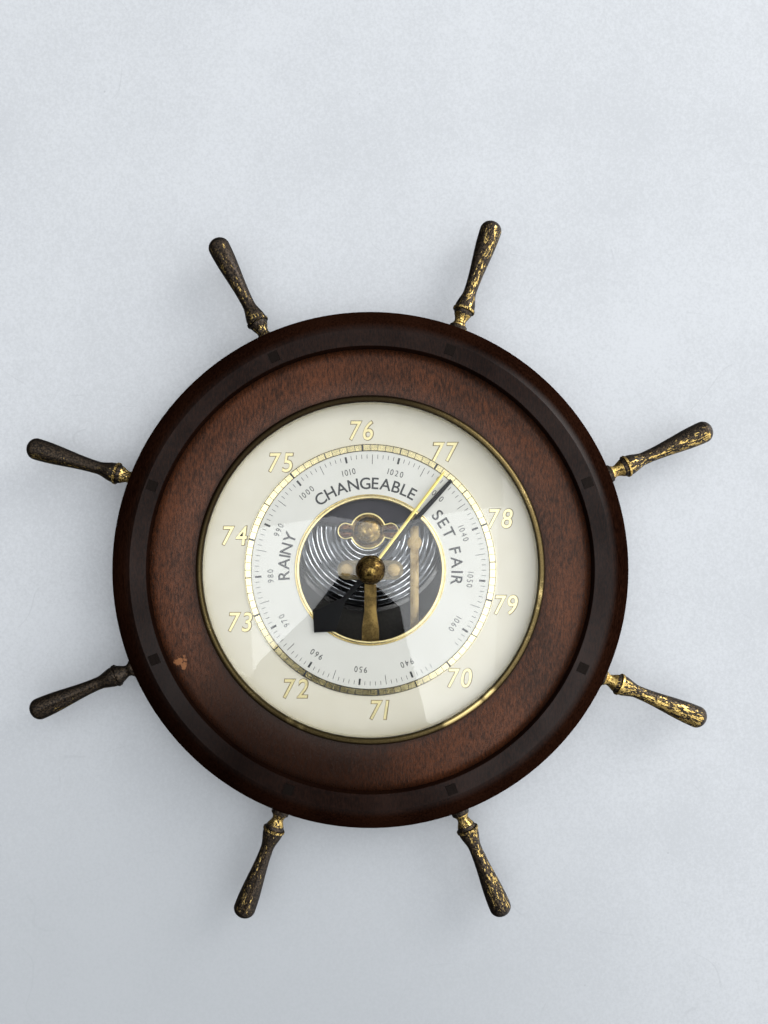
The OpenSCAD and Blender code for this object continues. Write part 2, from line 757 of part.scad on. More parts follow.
module main_lever() {
    top_y = spring_edge_y + 5;
    end_y = -rocker_y + rocker_crank - 2;
    color("#a98a45") hung() translate([lever_x, 0, z_spring - lever_t]) difference() {
        linear_extrude(lever_t) {
            translate([-lever_w / 2, end_y]) square([lever_w, top_y - end_y]);
            translate([0, lever_eye_y]) circle(r = lever_eye_r);
        }
        translate([0, spring_edge_y + 3, -1]) cylinder(r = 0.9 + run_gap, h = 4);
        translate([0, lever_eye_y, -1]) cylinder(r = 0.9 + run_gap, h = 4);
        translate([0, -rocker_y + rocker_crank, -1]) cylinder(r = link_r + run_gap, h = 4);
    }
}

module lever_rivets() {
    z0 = z_spring - lever_t;
    color("#8f7434") hung() {
        translate([lever_x, spring_edge_y + 3, z0 - 0.6]) {
            cylinder(r = 0.9, h = lever_t + spring_t + 1.2);
            cylinder(r = 1.4, h = 0.6);
            translate([0, 0, lever_t + spring_t + 0.6]) cylinder(r = 1.4, h = 0.6);
        }
        translate([lever_x, lever_eye_y, z0]) {
            cylinder(r = 0.9, h = lever_t + 0.1);
            translate([0, 0, lever_t]) cylinder(r = lever_eye_r - 0.4, h = 0.5);
        }
    }
}

// The link hangs from the lever; its foot carries the rocker's crank
module lever_link() {
    foot_h = 0.5;
    color("#8c8574") hung() translate([lever_x, -rocker_y + rocker_crank, 0]) {
        translate([0, 0, z_spring]) screw(1.5, 0.8, link_r, z_spring - z_link + foot_h);
        translate([0, 0, z_link - foot_h]) cylinder(r = 1, h = foot_h);
    }
}

// Rocker: a shaft in two ears, with an arm for the chain and a crank for the lever

rocker_x0 = -4.6;
rocker_x1 = lever_x + 4;

module rocker_bracket() {
    color("#a98a45") hung() difference() {
        union() {
            translate([rocker_x0 - ear_t, -rocker_y - ear_w / 2, z_base])
                cube([rocker_x1 - rocker_x0 + 2 * ear_t, ear_w, 0.4]);
            for (x = [rocker_x0 - ear_t, rocker_x1]) translate([x, -rocker_y - ear_w / 2, z_base])
                cube([ear_t, ear_w, rocker_z + 1.6]);
        }
        for (x = [rocker_x0 - ear_t, rocker_x1]) translate([x - 1, -rocker_y, z_shaft])
            rotate([0, 90, 0]) cylinder(r = pivot_r + run_gap, h = ear_t + 2);
        for (p = bracket_screw_places) translate([p[0], p[1], z_base - 1])
            cylinder(r = 0.8 + run_gap, h = 6);
    }
}

module rocker_shaft() {
    color("#b59243") hung() translate([0, -rocker_y, z_shaft]) rotate([0, 90, 0]) {
        translate([0, 0, rocker_x0 - ear_t]) cylinder(r = pivot_r, h = rocker_x1 - rocker_x0 + 2 * ear_t);
        translate([0, 0, rocker_x0 + touch_gap])
            cylinder(r = rocker_r, h = rocker_x1 - rocker_x0 - 2 * touch_gap);
    }
}

chain_x = -drum_r - chain_w / 2 - run_gap;

// The arm is a fork: the chain runs between its tines and is held by a pin behind them
module rocker_fork() {
    tine = 0.5;
    slot = chain_w + 0.4;
    arm_w = slot + 2 * tine;
    color("#a98a45") hung() translate([chain_x, -rocker_y, z_shaft]) difference() {
        union() {
            rotate([0, 90, 0]) translate([0, 0, -arm_w / 2]) cylinder(r = hub_r, h = arm_w);
            translate([-arm_w / 2, -arm_t / 2, 0]) cube([arm_w, arm_t, rocker_arm + 1]);
        }
        translate([-slot / 2, -arm_t, rocker_arm - 1.5]) cube([slot, 2 * arm_t, 4]);
        rotate([0, 90, 0]) translate([0, 0, -arm_w]) cylinder(r = rocker_r, h = 2 * arm_w);
    }
}

module rocker_crank_fork() {
    tine = 0.7;
    slot = 2 * link_r + 0.5;
    fork_w = slot + 2 * tine;
    color("#a98a45") hung() translate([lever_x, -rocker_y, z_shaft]) difference() {
        union() {
            rotate([0, 90, 0]) translate([0, 0, -fork_w / 2]) cylinder(r = hub_r, h = fork_w);
            translate([-fork_w / 2, 0, -0.35]) cube([fork_w, rocker_crank, 0.7]);
            translate([-fork_w / 2, rocker_crank, 0]) rotate([0, 90, 0]) cylinder(r = crank_end_r, h = fork_w);
        }
        translate([-slot / 2, rocker_crank - 1.1, -2]) cube([slot, 4, 4]);
        rotate([0, 90, 0]) translate([0, 0, -fork_w]) cylinder(r = rocker_r, h = 2 * fork_w);
    }
}

bridge_cut_r = capsule_r + 0.6;
bridge_out_r = base_r - 0.5;
bridge_screw_x = 20;
bridge_screw_y = (capsule_y + sqrt(pow(bridge_cut_r, 2) - pow(bridge_screw_x + abs(capsule_x), 2))
    + sqrt(pow(bridge_out_r, 2) - pow(bridge_screw_x, 2))) / 2;
bracket_screw_places = [[0, -strap_foot_y], [-bridge_screw_x, bridge_screw_y], [bridge_screw_x, bridge_screw_y],
    [6, -rocker_y], [12, -rocker_y]];

module bracket_screws() {
    heights = [2, 2.4, 2.4, 0.4, 0.4];
    color("#8c8574") hung() for (i = [0:len(bracket_screw_places) - 1])
        translate([bracket_screw_places[i][0], bracket_screw_places[i][1], z_base + heights[i]])
            screw(1.3, i < 3 ? 0.8 : 0.15, 0.8, heights[i] + base_t);
}

module chain() {
    pin_y = -rocker_y - arm_t / 2 - chain_pin_gap - chain_pin_r;
    pin_len = chain_w + 1.2;
    color("#7c6a3a") hung() {
        translate([chain_x - chain_w / 2, pin_y, z_chain - chain_w / 2]) cube([chain_w, -pin_y, chain_w]);
        translate([chain_x - pin_len / 2, pin_y, z_chain]) rotate([0, 90, 0])
            cylinder(r = chain_pin_r, h = pin_len);
    }
}

// Hand arbor, hairspring and the plates that carry them

module hand_arbor() {
    color("#b59243") hung() {
        translate([0, 0, z_cock0 - 0.4]) cylinder(r = pivot_r, h = z_hand + hand_t + 0.3 - z_cock0 + 0.4);
        translate([0, 0, z_cock0 + cock_t + touch_gap])
            cylinder(r = drum_r, h = z_chain + 0.5 - z_cock0 - cock_t - touch_gap);
        translate([0, 0, z_hair - 0.3]) cylinder(r = hair_r0 - hair_t / 2, h = hair_h + 0.5);
    }
}

module hairspring() {
    outline = concat(
        [for (p = hair_line) p * (1 - hair_t / 2 / norm(p))],
        [for (i = [hair_steps:-1:0]) hair_line[i] * (1 + hair_t / 2 / norm(hair_line[i]))]);
    color("#9aa0a8") hung() translate([0, 0, z_hair]) linear_extrude(hair_h) polygon(outline);
}

module hairspring_stud() {
    stud = 0.5;
    color("#b59243") hung() translate([hair_r1 + hair_t / 2 + stud + run_gap, 0, z_hair - 0.2])
        cylinder(r = stud, h = z_cock1 - z_hair + 0.2);
}

module oblong() {
    translate([-cock_half, -cock_end_r]) square([2 * cock_half, 2 * cock_end_r]);
    for (side = [-1, 1]) translate([side * cock_half, 0]) circle(r = cock_end_r);
}

module cock_plate() {
    color("#c6b27c") hung() translate([0, 0, z_cock1]) difference() {
        linear_extrude(cock_t) oblong();
        translate([0, 0, -1]) cylinder(r = pivot_r + run_gap, h = cock_t + 2);
    }
}

module lower_cock() {
    color("#b59243") hung() translate([0, 0, z_cock0]) difference() {
        linear_extrude(cock_t) oblong();
        translate([0, 0, -1]) cylinder(r = pivot_r + run_gap, h = cock_t + 2);
    }
}

module cock_pillars() {
    color("#b59243") hung() for (side = [-1, 1])
        translate([side * cock_half, 0, z_cock0 + cock_t])
            cylinder(r = pillar_r, h = z_cock1 - z_cock0 - cock_t);
}

module arbor_strap() {
    foot = 4.6;
    foot_top = -strap_foot_y + foot / 2;
    color("#a98a45") hung() difference() {
        union() {
            translate([0, 0, z_strap]) linear_extrude(cock_t) {
                polygon([[-strap_w / 2, 0], [-strap_w / 2, -strap_neck_y], [-strap_foot_w / 2, -strap_neck_y - strap_flare],
                    [-strap_foot_w / 2, foot_top], [strap_foot_w / 2, foot_top],
                    [strap_foot_w / 2, -strap_neck_y - strap_flare], [strap_w / 2, -strap_neck_y], [strap_w / 2, 0]]);
                circle(r = strap_w / 2);
                translate([-strap_foot_w / 2, foot_top - foot]) square([strap_foot_w, foot]);
            }
            translate([-strap_foot_w / 2, foot_top - 0.8, z_base]) cube([strap_foot_w, 0.8, z_strap - z_base]);
            translate([-strap_foot_w / 2, foot_top - foot, z_base]) cube([strap_foot_w, foot, 2]);
        }
        translate([0, 0, z_strap - 1]) cylinder(r = pivot_r + run_gap, h = cock_t + 2);
        translate([0, -strap_foot_y, z_base - 1]) cylinder(r = 0.8 + run_gap, h = 4);
    }
}

// Hands

module pressure_hand() {
    stalk = 1;
    color("#101013") hung() rotate([0, 0, -hand_at]) difference() {
        union() {
            translate([0, 0, z_hand]) linear_extrude(hand_t) {
                polygon([[-hand_w * 0.6, 0], [-hand_w / 2, hand_len * 0.85], [-hand_w * 0.4, hand_len],
                    [hand_w * 0.4, hand_len], [hand_w / 2, hand_len * 0.85], [hand_w * 0.6, 0],
                    [stalk, -tail_neck], [tail_half, -tail_at], [0, -tail_len],
                    [-tail_half, -tail_at], [-stalk, -tail_neck]]);
                circle(r = boss_r);
            }
            translate([0, 0, z_hand - 0.4]) cylinder(r = boss_r - 0.6, h = hand_t + 0.6);
        }
        translate([0, 0, z_hand - 1]) cylinder(r = pivot_r, h = hand_t + 3);
    }
}

module set_hand() {
    side = set_w / 2;
    color("#d9b54a") hung() rotate([0, 0, -set_at]) difference() {
        union() {
            translate([0, 0, z_set]) linear_extrude(hand_t) polygon([[-side, -1],
                [-side, set_len - 2], [0, set_len], [side, set_len - 2], [side, -1]]);
            translate([0, 0, z_set - 0.1]) cylinder(r = set_boss_r, h = hand_t + 0.2);
        }
        translate([0, 0, z_set - 1]) cylinder(r = spindle_r - 0.4, h = hand_t + 2);
    }
}

module set_spindle() {
    z_under = z_glass + glass_dome - touch_gap;
    color("#b59243") hung() {
        translate([0, 0, z_set - 0.2]) cylinder(r = spindle_r - 0.4, h = hand_t + 0.4);
        translate([0, 0, z_set + hand_t + 0.1])
            cylinder(r = spindle_r, h = z_knob + knob_h / 2 - z_set - hand_t - 0.1);
        translate([0, 0, z_under - 0.6]) cylinder(r = spindle_r + 1.2, h = 0.6);
    }
}

module set_knob() {
    shoulder = 3.4;
    color("#a5822f") hung() translate([0, 0, z_knob]) difference() {
        rotate_extrude() polygon(concat(
            [[0, 0], [knob_neck_r + 0.5, 0], [knob_neck_r + 0.5, 0.5], [knob_neck_r, 0.9]],
            flow(0.9, knob_neck_r, shoulder, knob_r, 6),
            cap(knob_r, shoulder, knob_h - shoulder, 14)));
        translate([0, 0, -1]) cylinder(r = spindle_r, h = knob_h / 2 + 1);
    }
}

rim_ring();
face_ring();
rim_pegs();
handle_1();
handle_2();
handle_3();
handle_4();
handle_5();
handle_6();
handle_7();
handle_8();
bezel();
glass();
glass_seat();
dial_plate();
scale_ring();
graduation_ring();
opening_ring();
case_can();
base_plate();
movement_screws();
case_clips();
clip_screws();
hanger_plate();
hanger_screws();
capsule_front();
capsule_back();
capsule_post();
adjust_screw();
spring_bridge();
spring_pivots();
mainspring();
dome_plate();
dome_nut();
plate_screws();
main_lever();
lever_rivets();
lever_link();
rocker_bracket();
rocker_shaft();
rocker_fork();
rocker_crank_fork();
bracket_screws();
chain();
hand_arbor();
hairspring();
hairspring_stud();
arbor_strap();
cock_plate();
lower_cock();
cock_pillars();
pressure_hand();
set_hand();
set_spindle();
set_knob();
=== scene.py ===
# %% [markdown]
# # An aneroid wall barometer in a turned wooden wheel
# The construction is already packed as a frame of exact parts. This lesson gives each part its
# looks. We load the frame first.

# %% Load the frame
import math
import bmesh
import bpy
from mathutils import Matrix, Vector


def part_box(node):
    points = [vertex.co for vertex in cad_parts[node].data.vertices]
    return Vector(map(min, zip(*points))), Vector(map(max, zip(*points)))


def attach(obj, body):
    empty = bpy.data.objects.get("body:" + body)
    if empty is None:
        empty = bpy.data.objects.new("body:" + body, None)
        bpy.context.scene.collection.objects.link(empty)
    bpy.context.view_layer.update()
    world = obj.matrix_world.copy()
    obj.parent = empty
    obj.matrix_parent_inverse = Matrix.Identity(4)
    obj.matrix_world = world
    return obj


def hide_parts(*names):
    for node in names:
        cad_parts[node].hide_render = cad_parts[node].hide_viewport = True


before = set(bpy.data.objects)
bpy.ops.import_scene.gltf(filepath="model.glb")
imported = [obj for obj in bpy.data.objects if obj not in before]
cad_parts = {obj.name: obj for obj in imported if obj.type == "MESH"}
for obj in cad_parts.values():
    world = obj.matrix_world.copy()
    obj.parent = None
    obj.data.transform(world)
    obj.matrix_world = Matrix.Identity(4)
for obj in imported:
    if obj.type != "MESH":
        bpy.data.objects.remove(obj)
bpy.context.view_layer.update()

MM = 0.001
print("parts in the frame:", len(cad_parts))

# %% [markdown]
# Most sizes below are radii about the dial's centre and heights above the wall, in millimetres,
# as on a bench with the barometer lying face up. One matrix stands that bench upright: its x
# stays, its y becomes up, and its z comes out of the wall towards us.

# %% The bench and the sizes that the frame gives
def middle(node, axis):
    low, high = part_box(node)
    return (low[axis] + high[axis]) / 2


def radius_of(node):
    low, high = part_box(node)
    return (high[0] - low[0]) / 2 / MM


def top_of(node):
    return -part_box(node)[0][1] / MM


def foot_of(node):
    return -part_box(node)[1][1] / MM


def clock(angle):
    """The matrix that turns twelve o'clock to this clock angle."""
    return Matrix.Rotation(-math.radians(angle), 4, "Z")


def shift(x, y, z=0):
    return Matrix.Translation((x, y, z))


def add_object(name, data):
    made = bpy.data.objects.new(name, data)
    bpy.context.scene.collection.objects.link(made)
    return made


dial_up = middle("case_can", 2)
BENCH = Matrix(((MM, 0, 0, 0), (0, 0, -MM, 0), (0, MM, 0, dial_up), (0, 0, 0, 1)))
rim_r = radius_of("rim_ring")
bezel_r = radius_of("bezel")
dial_top = top_of("dial_plate")
scale_top = top_of("scale_ring")
print("rim radius", round(rim_r, 2), "dial face", round(dial_top, 2), "mm above the wall")

# %% [markdown]
# The photograph was taken with a phone held square to the wall, about a third of a metre away.
# The rings of the dial stay concentric in it, so the camera isn't tilted. The dial lies a little
# left of and below the middle of the picture, which is the work of the lens shift.

# %% Camera
PICTURE = (768, 1024)
focal_px = 769
dial_px = (370.4, 570.0)
camera_height = 325.6

eye = bpy.data.cameras.new("square_on")
eye.sensor_width = 36
eye.lens = eye.sensor_width * focal_px / PICTURE[1]
eye.shift_x = (PICTURE[0] / 2 - dial_px[0]) / PICTURE[1]
eye.shift_y = (dial_px[1] - PICTURE[1] / 2) / PICTURE[1]
eye.clip_start = 0.01
camera = add_object("camera", eye)
camera.matrix_world = shift(0, -camera_height * MM, dial_up) @ Matrix.Rotation(math.pi / 2, 4, "X")
bpy.context.scene.camera = camera
bpy.context.scene.view_settings.view_transform = "Standard"

# %% [markdown]
# A finish is a small network of shader nodes. Written node by node it is long and hard to read,
# so three small classes help. A Tap wraps a socket and lets plain arithmetic add Math nodes. A
# Network makes any other node from its type (Blender's names all begin with ShaderNode, so that
# is put in front), its settings and its inputs. A Finish is the network of one material.

# %% Shader helpers
class Tap:
    """A value that flows through a finish; sums and products of taps add Math nodes."""

    def __init__(self, network, socket):
        self.network = network
        self.socket = socket

    def __add__(self, other):
        return self.network.math("ADD", self, other)

    def __sub__(self, other):
        return self.network.math("SUBTRACT", self, other)

    def __rsub__(self, other):
        return self.network.math("SUBTRACT", other, self)

    def __mul__(self, other):
        return self.network.math("MULTIPLY", self, other)

    def __pow__(self, other):
        return self.network.math("POWER", self, other)

    __radd__ = __add__
    __rmul__ = __mul__

    def ease(self, low, high, start=0.0, end=1.0):
        """A smooth step from start to end as the value goes from low to high."""
        return self.network.node("MapRange", {"interpolation_type": "SMOOTHSTEP"},
                                 {0: self, 1: low, 2: high, 3: start, 4: end})


class Network:
    """The shader nodes of a material or of the world."""

    def __init__(self, owner, output="Material Output"):
        owner.use_nodes = True
        self.tree = owner.node_tree
        self.output = self.tree.nodes[output]

    def node(self, kind, settings=None, inputs=None, output=0):
        made = self.tree.nodes.new("ShaderNode" + kind)
        for key, value in (settings or {}).items():
            setattr(made, key, value)
        for key, value in (inputs or {}).items():
            if isinstance(value, Tap):
                self.tree.links.new(value.socket, made.inputs[key])
            else:
                made.inputs[key].default_value = value
        return Tap(self, made.outputs[output])

    def math(self, operation, *values):
        return self.node("Math", {"operation": operation}, dict(enumerate(values)))

    def vector_math(self, operation, first, second, output="Value"):
        return self.node("VectorMath", {"operation": operation}, {0: first, 1: second}, output)

    def show_mix(self, share, first, second):
        """Let the output show a mix of two shaders."""
        both = self.node("MixShader", {}, {0: share, 1: first, 2: second})
        self.tree.links.new(both.socket, self.output.inputs["Surface"])


class Finish(Network):
    """A material with one Principled surface."""

    def __init__(self, name, **constants):
        self.material = bpy.data.materials.new(name)
        super().__init__(self.material)
        self.surface = self.tree.nodes["Principled BSDF"]
        for key, value in constants.items():
            self.surface.inputs[key.replace("_", " ")].default_value = value

    def feed(self, key, tap):
        self.tree.links.new(tap.socket, self.surface.inputs[key])

    def place(self):
        return self.node("TexCoord", output="Object")

    def stretched(self, seed, x=1.0, y=1.0, z=1.0):
        """The place, scaled along each axis, and moved so that no two patterns are the same."""
        return self.node("Mapping", {}, {"Vector": self.place(), "Location": (seed, seed, seed),
                                         "Scale": (x, y, z)})

    def noise(self, scale, detail, rough, where=None):
        return self.node("TexNoise", {}, {"Scale": scale, "Detail": detail, "Roughness": rough,
                                          "Vector": where or self.place()})

    def cells(self, scale, where=None):
        return self.node("TexVoronoi", {}, {"Scale": scale, "Vector": where or self.place()})

    def blend(self, factor, first, second):
        return self.node("Mix", {"data_type": "RGBA"}, {0: factor, 6: first, 7: second}, output=2)

    def bump(self, height, strength, depth):
        self.feed("Normal", self.node("Bump", {}, {"Height": height, "Strength": strength,
                                                   "Distance": depth}))

    def away_from(self, x, y, z):
        """Distance in millimetres from a point that is given on the bench."""
        return self.vector_math("DISTANCE", self.place(), BENCH @ Vector((x, y, z))) * (1 / MM)

    def radius(self):
        """Distance in millimetres from the dial's axis."""
        flat = self.vector_math("MULTIPLY", self.place(), (1, 0, 1), "Vector")
        return self.vector_math("DISTANCE", flat, (0, 0, dial_up)) * (1 / MM)


def srgb(r, g, b):
    """A colour written as a picture shows it, 0 to 255, as the linear colour that a shader takes."""
    def linear(c):
        c = c / 255
        return c / 12.92 if c < 0.04045 else ((c + 0.055) / 1.055) ** 2.4
    return (linear(r), linear(g), linear(b), 1.0)

# %% [markdown]
# ## Wood
# The moulded ring is stained almost black and varnished, and the band inside it is a warmer
# brown. Both are turned from boards, so their grain runs straight across the wheel, not round
# it: noise squeezed sideways gives fine upright streaks. The band is painted darker at its joint
# with the ring and beside the bezel, as shade in those recesses, and both woods are painted
# darker on their lower left, as shade.

# %% Wood finishes
def wood(name, dark, light, roughness, gloss, seed, corners=(), varnish=(), scuff=(), darker_patch=()):
    """corners holds the radii between which painted shade closes in, and its depth; varnish the
    radii between which it begins and ends to shine, and its weight; scuff a chipped place and its
    colour; the last the middle of a side painted darker as shade, its reach and its depth."""
    finish = Finish(name, Specular_IOR_Level=gloss, Specular_Tint=(1, 0.82, 0.74, 1), Coat_Roughness=0.3)
    streaks = finish.noise(1, 5.0, 0.65, finish.stretched(seed, 1700, 1700, 420))
    clouds = finish.noise(34, 4.0, 0.55, finish.stretched(seed + 3, z=0.7))
    pores = finish.noise(1, 2.0, 0.5, finish.stretched(seed + 7, 4200, 4200, 1300)).ease(0.54, 0.7)
    tone = (streaks * 0.95 + clouds * 0.45).ease(0.5, 0.9)
    black = tuple(c * 0.4 for c in dark[:3]) + (1,)
    pores_and_shade = pores * 0.5
    # Painted shade: darker towards the recesses at the given radii. The pores' dark filling is the wood's own.
    for open_r, closed_r, depth in corners:
        pores_and_shade = pores_and_shade + finish.radius().ease(open_r, closed_r, 0.0, depth)
    colour = finish.blend(pores_and_shade, finish.blend(tone, dark, light), black)
    # Painted shade: one side of the wood is painted darker.
    if darker_patch:
        *spot, reach, depth = darker_patch
        ragged = finish.away_from(*spot) + clouds * 20
        colour = finish.blend(ragged.ease(reach + 20, reach - 30, 0.0, depth), colour, black)
    if scuff:
        *spot, bare_wood = scuff
        ragged = finish.away_from(*spot) + finish.noise(330, 4.0, 0.65) * 9.0
        colour = finish.blend(ragged.ease(7.2, 6.4) * 0.75, colour, bare_wood)
    finish.feed("Base Color", colour)
    finish.feed("Roughness", tone * -0.08 + roughness)
    if varnish:
        bare_in, glossy_in, glossy_out, bare_out, coat = varnish
        shine = finish.radius().ease(bare_in, glossy_in) * finish.radius().ease(bare_out, glossy_out)
        finish.feed("Coat Weight", shine * clouds.ease(0.3, 0.7, coat * 0.6, coat))
    finish.bump(streaks * 0.8 - pores * 0.6, 0.4, 0.00008)
    return finish.material


# Painted shade: both woods are darker on their lower left, and the band is darker beside the bezel and at its
# joint with the ring.
dark_wood = wood("dark_varnished_wood", srgb(14, 5, 3), srgb(38, 20, 12), roughness=0.42, gloss=0.0, seed=1.0,
                 varnish=(86.6, 87.6, 93.6, 97.6, 0.36), darker_patch=(-70, -60, 15, 60, 0.5))
red_wood = wood("brown_varnished_wood", srgb(34, 17, 9), srgb(91, 51, 30), roughness=0.31, gloss=0.25, seed=5.0,
                corners=[(70.8, 68.4, 0.5), (83.4, 87.4, 0.5)],
                scuff=(-74.5, -36, 23, srgb(150, 100, 64)), darker_patch=(-38, -74, 23, 62, 0.85))
peg_wood = wood("blackened_peg_wood", srgb(7, 4, 3), srgb(15, 9, 7), roughness=0.5, gloss=0.1, seed=9.0)

# %% [markdown]
# ## Old brass
# Bare brass is bright gold. With the years it goes brown and then nearly black, except where
# hands and cloth keep rubbing it. So the finish mixes three colours: one mask follows a slow
# noise and says where the metal is rubbed, another breaks its edge up. Edge says how soft that
# edge is, and relief how deep the unevenness goes.

# %% Brass finishes
def old_brass(name, bright, aged, dark, seed, rubbed=0.16, rough=0.3, fleck=1800, cloud=300, edge=0.3,
              relief=0.1, corners=(), bare=(), shade=()):
    """corners holds pairs of radii between which painted shade closes in; bare holds spots that are
    painted bright, each with its reach: rubbed places, and on the bezel also a painted highlight;
    shade is the middle of a side painted darker as shade, its reach and depth."""
    finish = Finish(name, Metallic=1.0)
    slow = finish.noise(cloud, 3.0, 0.6, finish.stretched(seed))
    fine = finish.noise(fleck, 5.0, 0.65, finish.stretched(seed + 2))
    wear = (slow + fine * 0.45).ease(0.95 - rubbed - edge / 2, 0.95 - rubbed + edge / 2)
    # Painted bright: rubbed places, and on the bezel also a painted highlight.
    for *spot, reach in bare:
        wear = wear + (finish.away_from(*spot) + fine * 3.0).ease(reach + 2.5, reach)
    brown = finish.blend(fine.ease(0.35, 0.7), dark, aged)
    colour = finish.blend(wear, brown, bright)
    # Painted shade: darker into the recesses at the given radii.
    for open_r, closed_r in corners:
        recess_shade = finish.radius().ease(open_r, closed_r, 0.0, 0.85)
        colour = finish.blend(recess_shade, colour, srgb(26, 22, 12))
    # Painted shade: one side of the brass is painted darker.
    if shade:
        *spot, reach, depth = shade
        darkened = finish.away_from(*spot).ease(reach, reach / 2, 0.0, depth)
        colour = finish.blend(darkened, colour, srgb(34, 26, 18))
    finish.feed("Base Color", colour)
    finish.feed("Roughness", wear * -0.12 + fine * 0.16 + rough)
    finish.bump(fine + wear * 0.4, relief, 0.00005)
    return finish.material


# Painted shade beside the bezel's lip, where it stands on the wood, and on its upper left. Its first three bare
# spots, at the lower right, are a painted highlight; the last two are scuffs.
bezel_brass = old_brass("aged_bezel_brass", srgb(214, 190, 130), srgb(120, 104, 68), srgb(84, 72, 46), 31.0,
                        rubbed=0.0, rough=0.26, fleck=2400, cloud=50, edge=0.2, relief=0.06,
                        corners=[(66.6, 66.1), (67.9, 68.5)],
                        bare=[(34, -58, 25, 6.0), (41, -54, 25, 4.0), (47, -49, 25, 3.0),
                              (-31, -58, 25, 1.5), (-27, -61, 25, 1.0)],
                        shade=(-34, 60, 25, 84, 0.8))
knob_brass = old_brass("knob_brass", srgb(172, 144, 80), srgb(100, 80, 44), srgb(52, 38, 22), 43.0,
                       rough=0.2, fleck=1500, cloud=260, edge=0.24)
dome_brass = old_brass("dome_brass", srgb(190, 164, 102), srgb(128, 102, 56), srgb(70, 52, 28), 51.0,
                       rubbed=0.26, rough=0.27, cloud=380, edge=0.34, relief=0.3)
plate_brass = old_brass("dome_plate_brass", srgb(138, 112, 58), srgb(94, 74, 38), srgb(62, 46, 25), 57.0)
# The plate's rim is painted brighter than its face: a painted highlight.
rim_highlight_brass = old_brass("dome_plate_rim_brass", srgb(255, 236, 168), srgb(240, 212, 134), srgb(190, 156, 90),
                      59.0, rubbed=0.5, rough=0.34)
strap_brass = old_brass("strap_brass", srgb(128, 106, 62), srgb(96, 80, 46), srgb(72, 58, 34), 61.0,
                        rough=0.34, fleck=2400, cloud=160, edge=0.4, relief=0.05)
pale_brass = old_brass("pale_cock_brass", srgb(120, 110, 86), srgb(98, 86, 62), srgb(74, 60, 40), 67.0,
                       rubbed=0.26, rough=0.4, fleck=900, cloud=240)
lever_brass = old_brass("lever_brass", srgb(170, 148, 106), srgb(140, 118, 78), srgb(106, 84, 50), 71.0,
                        rubbed=0.3, rough=0.36, cloud=200)
screw_brass = old_brass("red_screw_brass", srgb(142, 100, 58), srgb(96, 58, 34), srgb(58, 33, 19), 77.0,
                        fleck=1500, edge=0.2)
case_brass = old_brass("dull_case_brass", srgb(180, 152, 96), srgb(140, 114, 70), srgb(96, 78, 50), 83.0,
                       rubbed=0.3, rough=0.4, fleck=700, cloud=60, edge=0.06, relief=0.2)

# %% [markdown]
# The eight handles are the same brass, but handled outdoors for years: most of each is a dark
# bronze crust, and the gold shows through in thin torn strips along the grip. Each handle has
# its own mapping, turned by its clock angle, so that the noise can be drawn out along it. How
# exposed a point is comes with the mesh, as a number called rub.

# %% Handle finish
def crusted_brass(name, angle, torn, glow, seed):
    """Dark crust; torn is how much bare gold shows, glow how much of the crust is thin and golden."""
    finish = Finish(name, Metallic=1.0, Coat_Roughness=0.3)
    along = finish.node("Mapping", {"vector_type": "TEXTURE"},
                        {"Vector": finish.place(), "Rotation": (0, math.radians(angle), 0),
                         "Location": (seed, 0, 0), "Scale": (0.22, 0.22, 1.0)})
    strips = finish.noise(230, 3.0, 0.6, along)
    wavy = finish.noise(660, 4.0, 0.65, along)
    fine = finish.noise(1500, 4.0, 0.7, finish.stretched(seed))
    rub = finish.node("Attribute", {"attribute_name": "rub"}, output="Fac")
    bare = (strips * 0.8 + wavy * 0.6 + fine * 0.25 + rub * 0.4).ease(1.22 - torn, 1.26 - torn)
    thin = (wavy * 0.5 + fine * 0.7 + rub * 0.4).ease(0.98 - glow, 1.2 - glow)
    crust = finish.blend(fine.ease(0.42, 0.62), srgb(14, 9, 6), srgb(76, 63, 49))
    crust = finish.blend(thin * 0.7, crust, srgb(150, 124, 74))
    gold = finish.blend(fine.ease(0.35, 0.6), srgb(170, 136, 66), srgb(236, 204, 128))
    finish.feed("Base Color", finish.blend(bare, crust, gold))
    finish.feed("Roughness", bare * -0.2 + fine * 0.16 + 0.36)
    finish.feed("Coat Weight", 0.35 - bare * 0.35)
    finish.bump(fine - bare * 1.2, 0.6, 0.0001)
    return finish.material

# %% [markdown]
# ## Gilt, steel and lacquer
# The graduated ring, the ring around the opening and the setting hand are gilt: hardly tarnished,
# with fine scratches. The mainspring is dark steel, with a painted shadow that turns it almost
# black along its lower edge, and the base plate and the pressure hand are lacquered. One
# function gives them all.

# %% Other metal finishes
def fine_metal(name, colour, seed, rough=0.5, mottle=0.3, scale=500, metallic=1.0, edge=(), gloss=0.5):
    """edge is the height on the dial below which a painted shadow turns the metal black, and how softly."""
    finish = Finish(name, Metallic=metallic, Specular_IOR_Level=gloss)
    soft = finish.noise(scale, 4.0, 0.6, finish.stretched(seed))
    scratch = finish.noise(1, 2.0, 0.5, finish.stretched(seed, 9000, 9000, 500)).ease(0.6, 0.75)
    darkened = tuple(c * (1 - mottle) for c in colour[:3]) + (1,)
    tone = finish.blend(soft.ease(0.3, 0.75), darkened, colour)
    # Painted shadow: below the given height the metal turns black.
    if edge:
        shadow_y, blur = edge
        up = finish.node("SeparateXYZ", {}, {0: finish.place()}, output="Z") * (1 / MM) - dial_up / MM
        low = up.ease(shadow_y + blur / 2, shadow_y - blur / 2)
        tone = finish.blend(low * 0.8, tone, (0.002, 0.002, 0.002, 1))
    finish.feed("Base Color", tone)
    finish.feed("Roughness", soft * 0.12 + scratch * 0.08 + (rough - 0.05))
    finish.bump(soft * 0.4 - scratch * 0.5, 0.15, 0.00003)
    return finish.material


